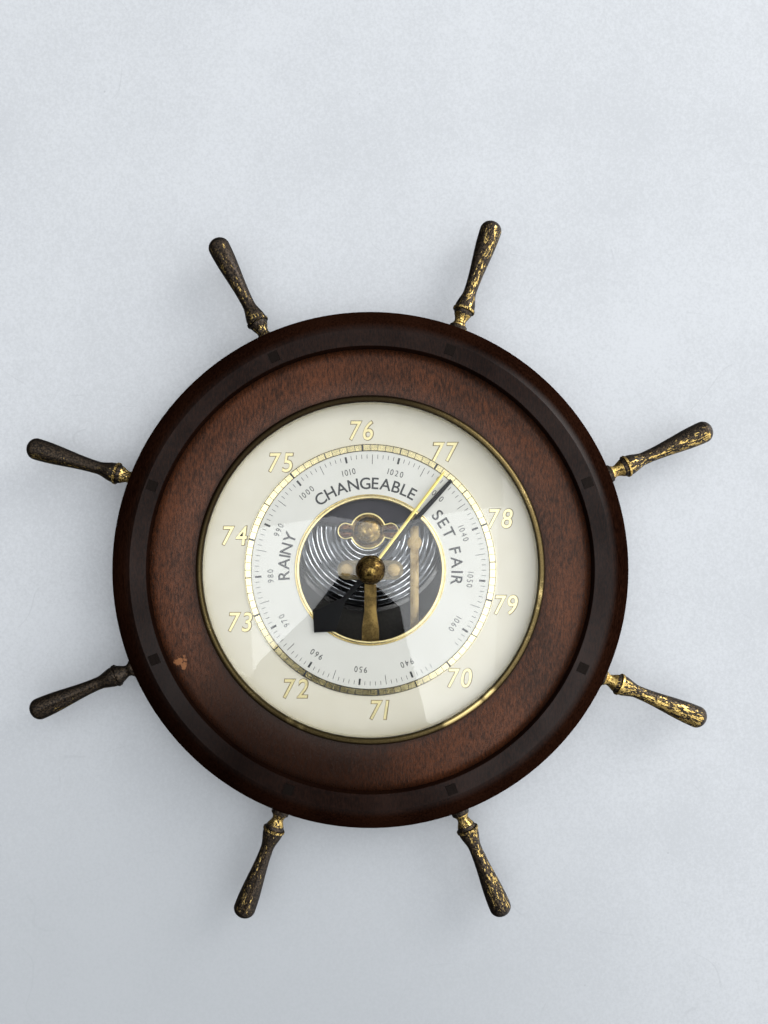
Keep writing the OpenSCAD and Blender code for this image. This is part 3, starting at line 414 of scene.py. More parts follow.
ring_gold = fine_metal("graduation_gold", srgb(240, 226, 178), 2.0, rough=0.16, mottle=0.08, scale=300)
gilt = fine_metal("opening_gilt", srgb(240, 222, 166), 12.0, rough=0.18, mottle=0.2, scale=240)
numeral_gold = fine_metal("numeral_gold", srgb(250, 236, 182), 22.0, rough=0.3, mottle=0.1, metallic=0.6)
hand_gold = fine_metal("setting_hand_gold", srgb(255, 232, 136), 32.0, rough=0.4, mottle=0.12)
# The mainspring's black lower edge is a painted shadow.
blued_steel = fine_metal("mainspring_steel", srgb(56, 54, 60), 52.0, rough=0.36, mottle=0.35, scale=300,
                         edge=(19.4, 0.5))
plain_steel = fine_metal("plain_steel", srgb(150, 146, 136), 62.0, rough=0.32, scale=900)
plate_black = fine_metal("base_plate_black", srgb(44, 41, 36), 72.0, mottle=0.4, scale=900, metallic=0.1,
                         gloss=0.2)
hand_black = fine_metal("pressure_hand_black", srgb(5, 5, 8), 82.0, metallic=0.0, gloss=0.15)
seat_paint = fine_metal("seat_paint", srgb(206, 200, 178), 92.0, mottle=0.2, scale=400, metallic=0.0)

# %% [markdown]
# The waved box is polished nickel. Its colour is painted dark grey, and a narrow near-white line
# at each crest and bottom of its waves is a painted highlight that stands in for the glints. The
# distance from the box's own axis gives the wave at each point, and a steep step leaves just its
# turning places.

# %% Capsule finish
capsule_at = (-0.9, 15.8)
capsule_r = radius_of("capsule_front")
wave_count, wave_from, wave_to, wave_z = 7, 4.0, capsule_r - 2.6, 8.6


def waved_nickel():
    finish = Finish("capsule_nickel", Metallic=1.0, Roughness=0.1)
    cloud = finish.noise(300, 4.0, 0.65, finish.stretched(42.0))
    far = finish.away_from(*capsule_at, wave_z)
    wave = (far + cloud * 0.3 - (wave_from + 0.15)) * (math.tau * 2 * wave_count / (wave_to - wave_from))
    # Painted highlight: a near-white line at each crest and bottom of the waves, dark grey nickel between.
    line = finish.math("COSINE", wave).ease(0.78, 1.0) * finish.noise(110, 3.0, 0.5).ease(0.4, 0.64)
    between_glints = finish.blend(cloud.ease(0.35, 0.7), srgb(52, 53, 55), srgb(86, 88, 92))
    tone = finish.blend(line, between_glints, srgb(250, 252, 255))
    teeth = finish.noise(1500, 2.0, 0.5).ease(0.45, 0.6, 0.75, 1.0)
    tone = finish.blend(far.ease(wave_to + 0.5, wave_to + 1.1) * teeth, tone, srgb(84, 82, 80))
    finish.feed("Base Color", tone)
    finish.feed("Roughness", cloud * 0.1 + 0.07)
    finish.bump(cloud, 0.05, 0.00003)
    return finish.material


nickel = waved_nickel()

# %% [markdown]
# ## Dial paint
# The cream border and the white ring are painted metal. Old paint is never quite even: it has
# faint clouds, a fine grain and a few specks of dust under the glass.

# %% Dial finishes
def dial_paint(name, colour, darker_patch, speck, seed):
    finish = Finish(name, Roughness=0.42)
    clouds = finish.noise(45, 4.0, 0.6, finish.stretched(seed))
    grain = finish.noise(2600, 3.0, 0.6)
    paint = finish.blend((clouds * 0.8 + grain * 0.25).ease(0.35, 0.75), darker_patch, colour)
    dots = finish.cells(210, finish.stretched(seed)).ease(0.035, 0.02)
    sparse = finish.noise(90, 1.0, 0.5, finish.stretched(seed + 5)).ease(0.6, 0.64)
    finish.feed("Base Color", finish.blend(dots * sparse * 0.8, paint, speck))
    finish.bump(grain, 0.12, 0.00004)
    return finish.material


cream_paint = dial_paint("cream_dial_paint", srgb(216, 212, 196), srgb(209, 204, 186), srgb(110, 92, 64), 4.0)
white_paint = dial_paint("white_scale_paint", srgb(212, 212, 206), srgb(206, 206, 199), srgb(100, 100, 100),
                         14.0)


def ink(name, colour, light):
    """Printing ink: nearly even, a little worn where the print is thin."""
    finish = Finish(name, Roughness=0.55)
    worn = finish.noise(3000, 3.0, 0.6).ease(0.55, 0.8)
    finish.feed("Base Color", finish.blend(worn * 0.5, colour, light))
    return finish.material


black_ink = ink("black_scale_ink", srgb(38, 40, 42), srgb(98, 100, 100))
outline_ink = ink("numeral_outline_ink", srgb(118, 102, 62), srgb(150, 134, 92))

# %% [markdown]
# ## Glass
# A thin clear glass lets the light through, and each of its two faces mirrors four percent of
# the room, and more at a slant. A mix of a clear and a glossy shader shows just that, and unlike
# real refraction it leaves no dark shadow on the dial. The share is Schlick's curve of how far
# the face turns away, because the Fresnel node would take the inner face for the way out of
# solid glass and mirror everything there.

# %% Glass finish
def clear_glass():
    finish = Finish("clear_dome_glass")
    finish.tree.nodes.remove(finish.surface)
    smear = finish.noise(60, 4.0, 0.6).ease(0.4, 0.8, 0.85, 1.1)
    facing = finish.node("LayerWeight", {}, {"Blend": 0.5}, output="Facing")
    mirrored = (facing ** 5.0) * 0.96 + 0.04
    clear = finish.node("BsdfTransparent", {}, {"Color": (0.996, 0.998, 0.996, 1)})
    gloss = finish.node("BsdfGlossy", {}, {"Color": (1, 1, 1, 1), "Roughness": 0.03})
    finish.show_mix(mirrored * smear, clear, gloss)
    return finish.material


dome_glass = clear_glass()

# %% [markdown]
# ## Turned pieces
# Rings, handles, knob, glass and diaphragm are all bodies of revolution, made on a lathe. The
# frame's own parts have the right shape but coarse facets, so the bezel, the ring around the
# opening, the glass, the handles, the knob and the diaphragm's front each get a finer twin: the
# same outline swept round its axis with smooth shading and crisp corners. The wooden rings keep
# the frame's own shape.

# %% Lathe helper
def finished(name, mesh, material, body, slot, *nodes):
    """Put a mesh into the scene as a piece that rides a body, in place of the frame's nodes."""
    mesh.name = name
    mesh.materials.append(material)
    piece = add_object(name, mesh)
    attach(piece, body)
    if nodes:
        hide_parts(*nodes)


def mesh_of(shape, corner=35):
    bmesh.ops.remove_doubles(shape, verts=shape.verts, dist=1e-7)
    bmesh.ops.recalc_face_normals(shape, faces=shape.faces)
    mesh = bpy.data.meshes.new("shape")
    shape.to_mesh(mesh)
    shape.free()
    mesh.polygons.foreach_set("use_smooth", [True] * len(mesh.polygons))
    mesh.set_sharp_from_angle(angle=math.radians(corner))
    return mesh


def turned(outline, seat=Matrix(), steps=256, corner=35, rub=None):
    """A closed outline of (radius, height) points swept round the seat's own upright axis.
    rub(radius, height, angle) gives the number that each point carries."""
    shape = bmesh.new()
    mark = shape.verts.layers.float.new("rub") if rub else None
    rings = []
    for step in range(steps):
        angle = math.tau * step / steps
        c, s = math.cos(angle), math.sin(angle)
        rings.append([shape.verts.new(BENCH @ seat @ Vector((r * s, r * c, z))) for r, z in outline])
        if rub:
            for vertex, (r, z) in zip(rings[-1], outline):
                vertex[mark] = rub(r, z, angle)
    count = len(outline)
    for step in range(steps):
        here, there = rings[step], rings[(step + 1) % steps]
        for k in range(count):
            after = (k + 1) % count
            shape.faces.new((here[k], here[after], there[after], there[k]))
    return mesh_of(shape, corner)


def oval(cx, cy, wide, tall, start, end, steps):
    """Points on an ellipse in the outline's plane, from start to end in degrees."""
    angles = [math.radians(start + (end - start) * k / steps) for k in range(steps + 1)]
    return [(cx + wide * math.cos(a), cy + tall * math.sin(a)) for a in angles]


def arc(cx, cy, r, start, end, steps=24):
    return oval(cx, cy, r, r, start, end, steps)


def rect(x0, x1, y0, y1):
    return [(x0, y0), (x1, y0), (x1, y1), (x0, y1)]


def flow(s0, r0, s1, r1, steps):
    """A smooth change of radius from one station to the next, without the first point."""
    made = []
    for k in range(1, steps + 1):
        t = k / steps
        made.append((r0 + (r1 - r0) * (1 - math.cos(math.pi * t)) / 2, s0 + (s1 - s0) * t))
    return made

# %% [markdown]
# The parts that the frame already shows well stay as they are, and only take a finish.

# %% Finishes on the frame's own parts
painted = {
    dark_wood: "rim_ring", peg_wood: "rim_pegs", red_wood: "face_ring", seat_paint: "glass_seat",
    cream_paint: "dial_plate", white_paint: "scale_ring", ring_gold: "graduation_ring",
    nickel: "capsule_back", lever_brass: "lever_rivets", knob_brass: "set_spindle",
    case_brass: "case_can hanger_plate", plate_black: "base_plate spring_bridge",
    dome_brass: "adjust_screw dome_nut", blued_steel: "mainspring chain",
    plain_steel: "movement_screws case_clips clip_screws hanger_screws lever_link bracket_screws hairspring",
    strap_brass: "capsule_post spring_pivots rocker_bracket rocker_shaft rocker_fork rocker_crank_fork "
                 "hand_arbor hairspring_stud lower_cock cock_pillars",
}
for material, nodes in painted.items():
    for node in nodes.split():
        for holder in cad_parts[node].material_slots:
            holder.material = material
print("finishes on the frame's own parts:", len(painted))

# %% [markdown]
# The handles are cast brass, turned to a club with a waist, a sharp collar and a flange. Where
# hands rub them, on the club's back and the collar's rim, the patina is gone. Each point of the
# outline therefore carries a number that says how exposed it is, and the finish reads it.

# %% Handles
FOOT, COLLAR, CLUB = 3.6, 4.5, 4.4
foot_end, waist_at, waist_r, tip_round = 2.22, 17.0, 2.6, 3.6
handle_length = 46.7
handle_seat = 103.62
handle_height = 13.0
handle_clock = (19.9, 68.1, 114.8, 159.7, 200.4, 247.5, 291.1, 335.7)
handle_lean = (-1.3, -2.1, -2.0, -2.6, 0.0, -0.9, -4.2, -2.9)
handle_sink = (0.4, 0.4, 1.2, 0.0, 0.0, 0.9, 2.3, 1.9)

# (radius, distance from the rim): foot, neck, collar, waist and club
club_end = handle_length - tip_round
handle_outline = [(0, 0), (FOOT - 0.3, 0), (FOOT, 0.3)] + arc(FOOT - 0.35, 1.85, 0.35, 0, 90, 4)
handle_outline += [(FOOT - 0.6, foot_end)]
handle_outline += flow(foot_end, FOOT - 0.6, 4.0, 2.3, 8) + flow(4.0, 2.3, 8.3, COLLAR - 0.75, 8)
handle_outline += [(COLLAR - 0.12, 8.42), (COLLAR, 8.55), (COLLAR, 9.3), (COLLAR - 0.14, 9.48),
                   (COLLAR - 0.42, 9.6)]
handle_outline += flow(9.6, COLLAR - 0.42, waist_at, waist_r, 14) + flow(waist_at, waist_r, club_end, CLUB, 30)
handle_outline += oval(0, club_end, CLUB, tip_round, 9, 90, 9)
# torn, glow, the side of the grip that is rubbed (90 is the clockwise side, 180 the front), and the neck
handle_wear = ((0.05, 0.04, 160, 0.95), (0.07, 0.06, 150, 1.0), (0.11, 0.06, 160, 1.0),
               (0.04, 0.06, 205, 0.95), (0.02, 0.05, 150, 1.0), (-0.03, -0.02, 250, 0.6),
               (0.0, 0.0, 230, 1.05), (0.01, 0.02, 200, 0.75))


def grip_rub(side, neck):
    def rub(r, s, angle):
        facing = 0.5 + 0.5 * math.cos(angle - math.radians(side))
        if s < 9.55:
            return neck if r > COLLAR - 0.3 or 2 < s < 7 else neck * 0.5
        return 0.75 * facing - (0.5 if s > handle_length - 2.5 else 0.0)
    return rub


for number in range(8):
    seat = (clock(handle_clock[number]) @ shift(0, handle_seat, handle_height)
            @ clock(handle_lean[number]) @ shift(0, -handle_sink[number])
            @ Matrix.Rotation(-math.pi / 2, 4, "X"))
    name = f"handle_{number + 1}"
    torn, glow, side, neck = handle_wear[number]
    brass = crusted_brass(name + "_brass", handle_clock[number] + handle_lean[number], torn, glow, 0.3 * number)
    finished(name + "_turned", turned(handle_outline, seat, 72, rub=grip_rub(side, neck)), brass,
             "frame", "handle_brass", name)
print("handles:", len(handle_clock), "points in the outline:", len(handle_outline))

# %% [markdown]
# The bezel is a brass bead over a skirt. The ring around the opening is a double bead with a
# groove, gilt. The glass is a shallow dome with a hole for the spindle. Each is one outline.

# %% Bezel, opening ring and glass
skirt = (66.8, 67.7)
band_z = 22.3
lip = (65.6, 24.9)
bead_top = 25.8
bead_mid = (skirt[1] + lip[0]) / 2

bead_low = band_z + 0.9
bezel_outline = [(skirt[0], 18.9), (skirt[1], 18.9), (skirt[1], band_z), (bezel_r, band_z)]
bezel_outline += oval(bead_mid, bead_low, bezel_r - bead_mid, bead_top - bead_low, 0, 90, 15)
bezel_outline += arc(lip[0] + 0.35, bead_top - 0.35, 0.35, 95, 180, 6) + [lip, (skirt[0], lip[1])]
finished("bezel_turned", turned(bezel_outline, steps=320), bezel_brass, "frame", "bezel_brass", "bezel")

ring_wide, ring_wall = 1.9, 0.6
open_r = radius_of("opening_ring") - ring_wide
ring_foot = foot_of("opening_ring")
opening_outline = [(open_r, ring_foot), (open_r + ring_wall, ring_foot), (open_r + ring_wall, scale_top),
                   (open_r + ring_wide, scale_top)]
opening_outline += arc(open_r + 1.62, scale_top + 0.1, 0.27, 0, 180, 10)
opening_outline += [(open_r + 1.3, scale_top + 0.08)]
opening_outline += oval(open_r + 0.62, scale_top + 0.1, 0.62, 0.3, 0, 180, 15)
finished("opening_ring_turned", turned(opening_outline, corner=50), gilt, "frame", "gilt", "opening_ring")

glass_low, glass_thick, glass_rise = 23.0, 1.8, 4.5
glass_r = radius_of("glass")
dome_r = lip[0] - 0.4
hole_r = 1.65


def dome_line(low):
    line = []
    for k in range(41):
        r = hole_r + (dome_r - hole_r) * (k / 40)
        line.append((r, low + glass_rise * (1 - (r / dome_r) ** 2)))
    return line


glass_outline = (dome_line(glass_low) + [(glass_r, glass_low), (glass_r, glass_low + glass_thick)]
                 + dome_line(glass_low + glass_thick)[::-1])
finished("glass_turned", turned(glass_outline, steps=192), dome_glass, "frame", "clear_glass", "glass")
print("opening radius", round(open_r, 2), "glass crown", round(glass_low + glass_thick + glass_rise, 2))

# %% [markdown]
# The vacuum capsule is a flat box of two waved diaphragms. Its waves are what makes the
# movement glitter, so its twin has many more points per wave than the frame's part.

# %% Capsule front
capsule_seat = shift(*capsule_at)
wave_height, skin, seam_z = 0.35, 0.3, 7.0
under = [(0, wave_z - wave_height / 2)]
for k in range(24 * wave_count + 1):
    t = k / (24 * wave_count)
    under.append((wave_from + (wave_to - wave_from) * t,
                  wave_z - wave_height / 2 * math.cos(math.tau * wave_count * t)))
under += [(wave_to + 1, seam_z), (capsule_r, seam_z)]
capsule_outline = under + [(r, z + skin) for r, z in reversed(under)]
button_r, button_low, button_top = 2.4, wave_z - 0.17, wave_z + 0.72
button = [(0, button_low), (button_r, button_low), (button_r, button_top - 0.16),
          (button_r - 0.15, button_top), (0, button_top)]
finished("capsule_front_turned", turned(capsule_outline, capsule_seat), nickel,
         "frame", "nickel", "capsule_front")
finished("capsule_button", turned(button, capsule_seat, 48), nickel, "frame", "nickel")
print("waves:", wave_count, "over", round(wave_to - wave_from, 1), "mm")

# %% [markdown]
# Flat pieces are cut from sheet: the cock plate, the strap below it, the main lever and both
# hands. A cut edge is never quite sharp, and its tiny bevel is what catches the light, so a
# helper extrudes an outline and bevels its rims.

# %% Sheet helper
def sheet_cut(outlines, seat=Matrix(), bevel=0.15):
    """Prisms from (points, low, high) with bevelled rims, in one mesh on the bench."""
    shape = bmesh.new()
    for points, low, high in outlines:
        base = shape.faces.new([shape.verts.new((x, y, low)) for x, y in points])
        grown = bmesh.ops.extrude_face_region(shape, geom=[base])["geom"]
        top = [g for g in grown if isinstance(g, bmesh.types.BMVert)]
        bmesh.ops.translate(shape, verts=top, vec=(0, 0, high - low))
        rims = [e for e in shape.edges if e.verts[0] in top and e.verts[1] in top]
        bmesh.ops.bevel(shape, geom=rims, offset=bevel, segments=2, profile=0.6, affect="EDGES")
    bmesh.ops.transform(shape, matrix=BENCH @ seat, verts=shape.verts)
    return mesh_of(shape, 30)

# %% [markdown]
# The cock plate and the strap hold the hand's arbor. The plate has a pillar under each round
# end, and the strap steps down to a foot at the bottom. The main lever reaches past them to the
# right, with an eye where its link is pinned.

# %% Cock plate, strap and main lever
cock_half, cock_r = 9.4, 3.9
cock_low, cock_high = 16.0, 17.0
cock = arc(cock_half, 0, cock_r, -90, 90) + arc(-cock_half, 0, cock_r, 90, 270)
finished("cock_plate_cut", sheet_cut([(cock, cock_low, cock_high)]), pale_brass,
         "frame", "movement_brass", "cock_plate")
heads = [(arc(x, 0, 2.5, 0, 350, 35), cock_high - 0.2, cock_high + 0.12) for x in (-cock_half, cock_half)]
finished("cock_pillar_heads", sheet_cut(heads, bevel=0.14), lever_brass, "frame", "movement_brass")

foot_top, foot_low = -40.7, -45.3
neck, wide, neck_y = 2.45, 3.5, -16.5
strap_low, strap_high, base_top = 15.0, 16.0, 4.8
strap = [(-neck, 0), (-neck, neck_y), (-wide, neck_y - 7), (-wide, foot_low), (wide, foot_low),
         (wide, neck_y - 7), (neck, neck_y), (neck, 0)] + arc(0, 0, neck, 0, 180, 16)[1:-1]
riser = rect(-wide, wide, foot_top - 0.8, foot_top)
foot = rect(-wide, wide, foot_low, foot_top)
strap_cuts = [(strap, strap_low, strap_high), (riser, base_top, strap_low), (foot, base_top, base_top + 2)]
finished("arbor_strap_cut", sheet_cut(strap_cuts, bevel=0.3), strap_brass,
         "frame", "movement_brass", "arbor_strap")

lever_x, lever_half, eye_r, eye_y = 18.0, 1.7, 3.0, 11.2
lever_low, lever_high = 11.0, 12.0
gap = math.degrees(math.acos(lever_half / eye_r))
lever = [(lever_x - lever_half, -33), (lever_x + lever_half, -33)]
lever += arc(lever_x, eye_y, eye_r, -gap, gap)
lever += [(lever_x + lever_half, 23), (lever_x - lever_half, 23)]
lever += arc(lever_x, eye_y, eye_r, 180 - gap, 180 + gap)
finished("main_lever_cut", sheet_cut([(lever, lever_low, lever_high)]), lever_brass,
         "lever", "movement_brass", "main_lever")
print("cock plate", 2 * (cock_half + cock_r), "mm long, lever eye", 2 * eye_r, "mm wide")

# %% [markdown]
# The dome sits on a plate like a bow tie: a disc with two round ears, its rim painted brighter
# than its inside as a painted highlight. Each ear has a slotted screw. A slot is simply left free
# between two half discs, and a dark disc under them is painted shade on its floor.

# %% Dome plate and its screws
def bow_tie(ring, ear, reach=9.0):
    """Outline of the dome's plate: a disc with two round ears, all about the capsule's axis."""
    points = []
    for k in range(240):
        a = math.tau * k / 240
        across = reach * math.sin(a)
        far = reach * abs(math.cos(a)) + math.sqrt(ear ** 2 - across ** 2) if abs(across) < ear else 0.0
        r = max(ring, far)
        points.append((capsule_at[0] + r * math.cos(a), capsule_at[1] + r * math.sin(a)))
    return points


plate_low, plate_high = foot_of("dome_plate"), top_of("dome_plate")
plate_rim = [(bow_tie(7.4, 3.4), plate_low, plate_high - 0.1)]
plate_face = [(bow_tie(6.8, 3.0), plate_high - 0.2, plate_high)]
finished("dome_plate_rim", sheet_cut(plate_rim, bevel=0.2), rim_highlight_brass, "lever", "movement_brass", "dome_plate")
finished("dome_plate_face", sheet_cut(plate_face, bevel=0.06), plate_brass, "lever", "movement_brass")

screw_top = top_of("plate_screws")
# The dark discs under the slots are painted shade on the slots' floors.
screw_cuts, slot_shade_discs = [], []
for side in (-9, 9):
    middle_x = capsule_at[0] + side
    slot_shade_discs.append((arc(middle_x, capsule_at[1], 2.75, 0, 352, 44), screw_top - 1.2, screw_top - 0.75))
    for start in (7, 187):
        half_disc = arc(middle_x, capsule_at[1], 2.7, start, start + 166, 30)
        screw_cuts.append((half_disc, screw_top - 0.8, screw_top - 0.02))
finished("plate_screws_cut", sheet_cut(screw_cuts, bevel=0.42), screw_brass,
         "lever", "movement_brass", "plate_screws")
finished("plate_screw_floors", sheet_cut(slot_shade_discs), peg_wood, "lever", "movement_brass")

# %% [markdown]
# The pressure hand is black: a thin pointer, a round boss and a tail that widens into a spade,
# which balances it. The setting hand is a brass needle with a ridge along its middle, so that
# one side is always brighter than the other.

# %% Hands
hand_z, set_z = 21.6, 23.1
hand_clock, set_clock = 42, 37
pointer = [(-1.08, 0), (-1.0, -16), (-6, -27.3), (0, -33.3), (6, -27.3), (1.0, -16), (1.08, 0),
           (0.9, 40.6), (0.72, 47.8), (-0.72, 47.8), (-0.9, 40.6)]
boss = arc(0, 0, 2.2, 0, 345, 23)
hand_cuts = [(pointer, hand_z, hand_z + 0.4), (boss, hand_z - 0.4, hand_z + 0.6)]
finished("pressure_hand_cut", sheet_cut(hand_cuts, clock(hand_clock), 0.12), hand_black,
         "pressure_hand_set", "black_paint", "pressure_hand")


def needle(length, half, low, high, seat):
    shape = bmesh.new()
    stations = [(-1.0, 1.0), (length - 2, 1.0), (length, 0.08)]
    rows = []
    for y, wide in stations:
        w = half * wide
        ridge = high - (0.2 if wide < 1 else 0)
        section = [(-w, low), (w, low), (w, low + 0.14), (0, ridge), (-w, low + 0.14)]
        rows.append([shape.verts.new(BENCH @ seat @ Vector((x, y, z))) for x, z in section])
    for a, b in zip(rows, rows[1:]):
        for k in range(5):
            shape.faces.new((a[k], a[(k + 1) % 5], b[(k + 1) % 5], b[k]))
    shape.faces.new(rows[0])
    shape.faces.new(rows[-1])
    return mesh_of(shape, 10)


finished("set_hand_needle", needle(48.7, 0.6, set_z, set_z + 0.4, clock(set_clock)), hand_gold,
         "setting_hand_set", "gold_hand", "set_hand")
boss_outline = [(0, set_z - 0.1), (2.5, set_z - 0.1), (2.6, set_z), (2.6, set_z + 0.2),
                (2.45, set_z + 0.3), (0, set_z + 0.3)]
finished("set_hand_boss", turned(boss_outline, steps=64), hand_gold, "setting_hand_set", "gold_hand")

knob_z, knob_r, knob_neck = 29.6, 5.7, 3.4
knob_mid, knob_dome = knob_z + 3.4, 4.6
knob_outline = [(0, knob_z), (knob_neck + 0.5, knob_z), (knob_neck + 0.5, knob_z + 0.5),
                (knob_neck, knob_z + 0.9)]
knob_outline += flow(knob_z + 0.9, knob_neck, knob_mid, knob_r, 12)
knob_outline += oval(0, knob_mid, knob_r, knob_dome, 4.5, 90, 19)
finished("set_knob_turned", turned(knob_outline, steps=96), knob_brass,
         "setting_hand_set", "knob_brass", "set_knob")
print("hands at", hand_clock, "and", set_clock, "degrees; knob top", round(knob_mid + knob_dome, 1), "mm")

# %% [markdown]
# ## Printing on the dial
# Ticks and letters are closed prisms that stand a few hundredths of a millimetre proud. Letters
# come from Blender's own font: a character becomes a mesh, is scaled to a stated height, and is
# then placed by angle and radius.

# %% Printing helpers
INK = 0.04
WORD_WEIGHT = 0.012


def glyph(character, shear=0.0, weight=0.0):
    """One character as a mesh: cap height 1 on the line y = 0, thickness 1; and its width."""
    curve = bpy.data.curves.new("glyph", "FONT")
    curve.body = character
    curve.shear = shear
    curve.extrude = 0.5
    curve.offset = weight
    curve.resolution_u = 5
    holder = add_object("glyph", curve)
    bpy.context.view_layer.update()
    mesh = bpy.data.meshes.new_from_object(holder.evaluated_get(bpy.context.evaluated_depsgraph_get()))
    bpy.data.objects.remove(holder)
    bpy.data.curves.remove(curve)
    xs = [v.co.x for v in mesh.vertices]
    return mesh, (min(xs), max(xs)) if xs else (0.0, 0.3)


cap_mesh, _ = glyph("H")
cap = max(v.co.y for v in cap_mesh.vertices)
digit_mesh, _ = glyph("0")
digit_low = min(v.co.y for v in digit_mesh.vertices)
digit = max(v.co.y for v in digit_mesh.vertices) - digit_low
print("cap height", round(cap, 3), "digit height", round(digit, 3))


def stamp(shape, mesh, seat, wide, high):
    mesh.transform(BENCH @ seat @ Matrix.Diagonal((wide, high, INK, 1)))
    shape.from_mesh(mesh)


def add_text(shape, text, height, seat, low, spacing, wide, shear=0.0, weight=0.0):
    """A straight word centred on the seat's origin, its middle line on y = 0."""
    size = height / digit
    glyphs = [glyph(c, shear, weight) for c in text]
    total = sum((x1 - x0) for _, (x0, x1) in glyphs) + spacing * (len(glyphs) - 1)
    x = -total / 2
    for mesh, (x0, x1) in glyphs:
        corner = shift((x - x0) * size * wide, -height / 2, low + INK / 2)
        stamp(shape, mesh, seat @ corner, size * wide, size)
        x += x1 - x0 + spacing


def add_word(shape, word, r, height, start, end, low):
    """A word along the circle of radius r, its first and last letters at the given clock angles."""
    size = height / cap
    glyphs = [glyph(c, 0.0, WORD_WEIGHT) for c in word]
    widths = [x1 - x0 for _, (x0, x1) in glyphs]
    gap = (math.radians(end - start) * r / size - sum(widths)) / (len(word) - 1)
    along = 0.0
    for (mesh, (x0, x1)), width in zip(glyphs, widths):
        angle = start + math.degrees((along + width / 2) * size / r)
        corner = shift(-(x0 + x1) / 2 * size, r - height / 2, low + INK / 2)
        stamp(shape, mesh, clock(angle) @ corner, size, size)
        along += width + gap


def add_tick(shape, angle, r0, r1, wide, low):
    """A bar along a radius."""
    corners = rect(-wide / 2, wide / 2, r0, r1)
    seat = BENCH @ clock(angle)
    floor = [shape.verts.new(seat @ Vector((x, y, low))) for x, y in corners]
    roof = [shape.verts.new(seat @ Vector((x, y, low + INK))) for x, y in corners]
    shape.faces.new(floor[::-1])
    shape.faces.new(roof)
    for k in range(4):
        shape.faces.new((floor[k], floor[(k + 1) % 4], roof[(k + 1) % 4], roof[k]))


def add_line(shape, r, wide, low, steps=240):
    """A thin printed circle."""
    inner, outer = r - wide / 2, r + wide / 2
    rings = []
    for edge_r, z in ((inner, low), (outer, low), (outer, low + INK), (inner, low + INK)):
        ring = []
        for k in range(steps):
            a = math.tau * k / steps
            ring.append(shape.verts.new(BENCH @ Vector((edge_r * math.sin(a), edge_r * math.cos(a), z))))
        rings.append(ring)
    for a, b in zip(rings, rings[1:] + rings[:1]):
        for k in range(steps):
            after = (k + 1) % steps
            shape.faces.new((a[k], a[after], b[after], b[k]))

# %% [markdown]
# Two scales share the dial. The gold ring has one cell per millimetre of mercury: 36 degrees
# per centimetre, with 76 almost at the top. The white ring has one tick per millibar, which is
# 2.7 degrees. Both follow from one formula, so a tick can't drift from its number.

# %% Scales
zero_clock = -3.7
per_cm, per_mbar = 36.0, 2.7


def clock_of_mbar(mbar):
    return zero_clock + per_mbar * (mbar - 1013.25)


ring_top = top_of("graduation_ring")
track_in, track_out = 47.3, 49.8
marks = bmesh.new()
for r in (track_in + 0.05, track_out - 0.05):
    add_line(marks, r, 0.26, ring_top)
for mm in range(100):
    wide = 0.75 if mm % 10 == 0 else 0.44 if mm % 5 == 0 else 0.2
    add_tick(marks, zero_clock + per_cm * mm / 10, track_in, track_out, wide, ring_top)
finished("mercury_marks", mesh_of(marks), black_ink, "frame", "black_paint")

tick_foot, number_r, number_high = 45.8, 39.7, 2.35
ticks = bmesh.new()
for mbar in range(936, 1064):
    tip, wide = (43.3, 0.8) if mbar % 10 == 0 else (42.0, 0.22) if mbar % 5 == 0 else (44.2, 0.2)
    add_tick(ticks, clock_of_mbar(mbar), tip, tick_foot, wide, scale_top)
for mbar in range(940, 1061, 10):
    seat = clock(clock_of_mbar(mbar)) @ shift(0, number_r)
    add_text(ticks, str(mbar), number_high, seat, scale_top, spacing=0.26, wide=0.85)
finished("millibar_scale", mesh_of(ticks), black_ink, "frame", "black_paint")

word_r, word_high = 34.4, 4.4
words = bmesh.new()
for word, start, end in (("RAINY", 263.5, 295.5), ("CHANGEABLE", 321.5, 391.0), ("SET FAIR", 48.5, 100.0)):
    add_word(words, word, word_r, word_high, start, end, scale_top)
finished("weather_words", mesh_of(words), black_ink, "frame", "black_paint")
print("from", clock_of_mbar(936) % 360, "to", clock_of_mbar(1063) % 360, "degrees")

# %% [markdown]
# The centimetres of mercury stand upright on the cream border. Each numeral is printed twice: a
# slightly fatter one in the outline's dull ink, and on it the gold one.

# %% Gold numerals
numeral_r, numeral_high, slant, narrow = 55.6, 7.5, 0.16, 0.86
fills, edges = bmesh.new(), bmesh.new()
for cm in range(70, 80):
    angle = math.radians(zero_clock + per_cm * (cm - 76))
    seat = shift(numeral_r * math.sin(angle), numeral_r * math.cos(angle))
    add_text(edges, str(cm), numeral_high, seat, dial_top, 0.0, narrow, slant, weight=0.03)
    add_text(fills, str(cm), numeral_high, seat, dial_top + INK, 0.052, narrow, slant, weight=0.004)
finished("numeral_edges", mesh_of(edges), outline_ink, "frame", "gilt")
finished("numeral_fills", mesh_of(fills), numeral_gold, "frame", "gilt")
print("numerals 70 to 79 at radius", numeral_r, "mm")

# %% [markdown]
# ## Room
# The wall is pale painted board with faint scratches and specks, painted darker towards the lower
# left as shade. It is seen from the front only, so that views from behind look through it, and it
# doesn't light or mirror in the object.

# %% Wall
def quad(name, corners, finish):
    mesh = bpy.data.meshes.new(name)
    mesh.from_pydata(corners, [], [list(range(len(corners)))])
    mesh.materials.append(finish.material)
    item = add_object(name, mesh)
    return item


def hide_from(item, *rays):
    for ray in rays:
        setattr(item, "visible_" + ray, False)


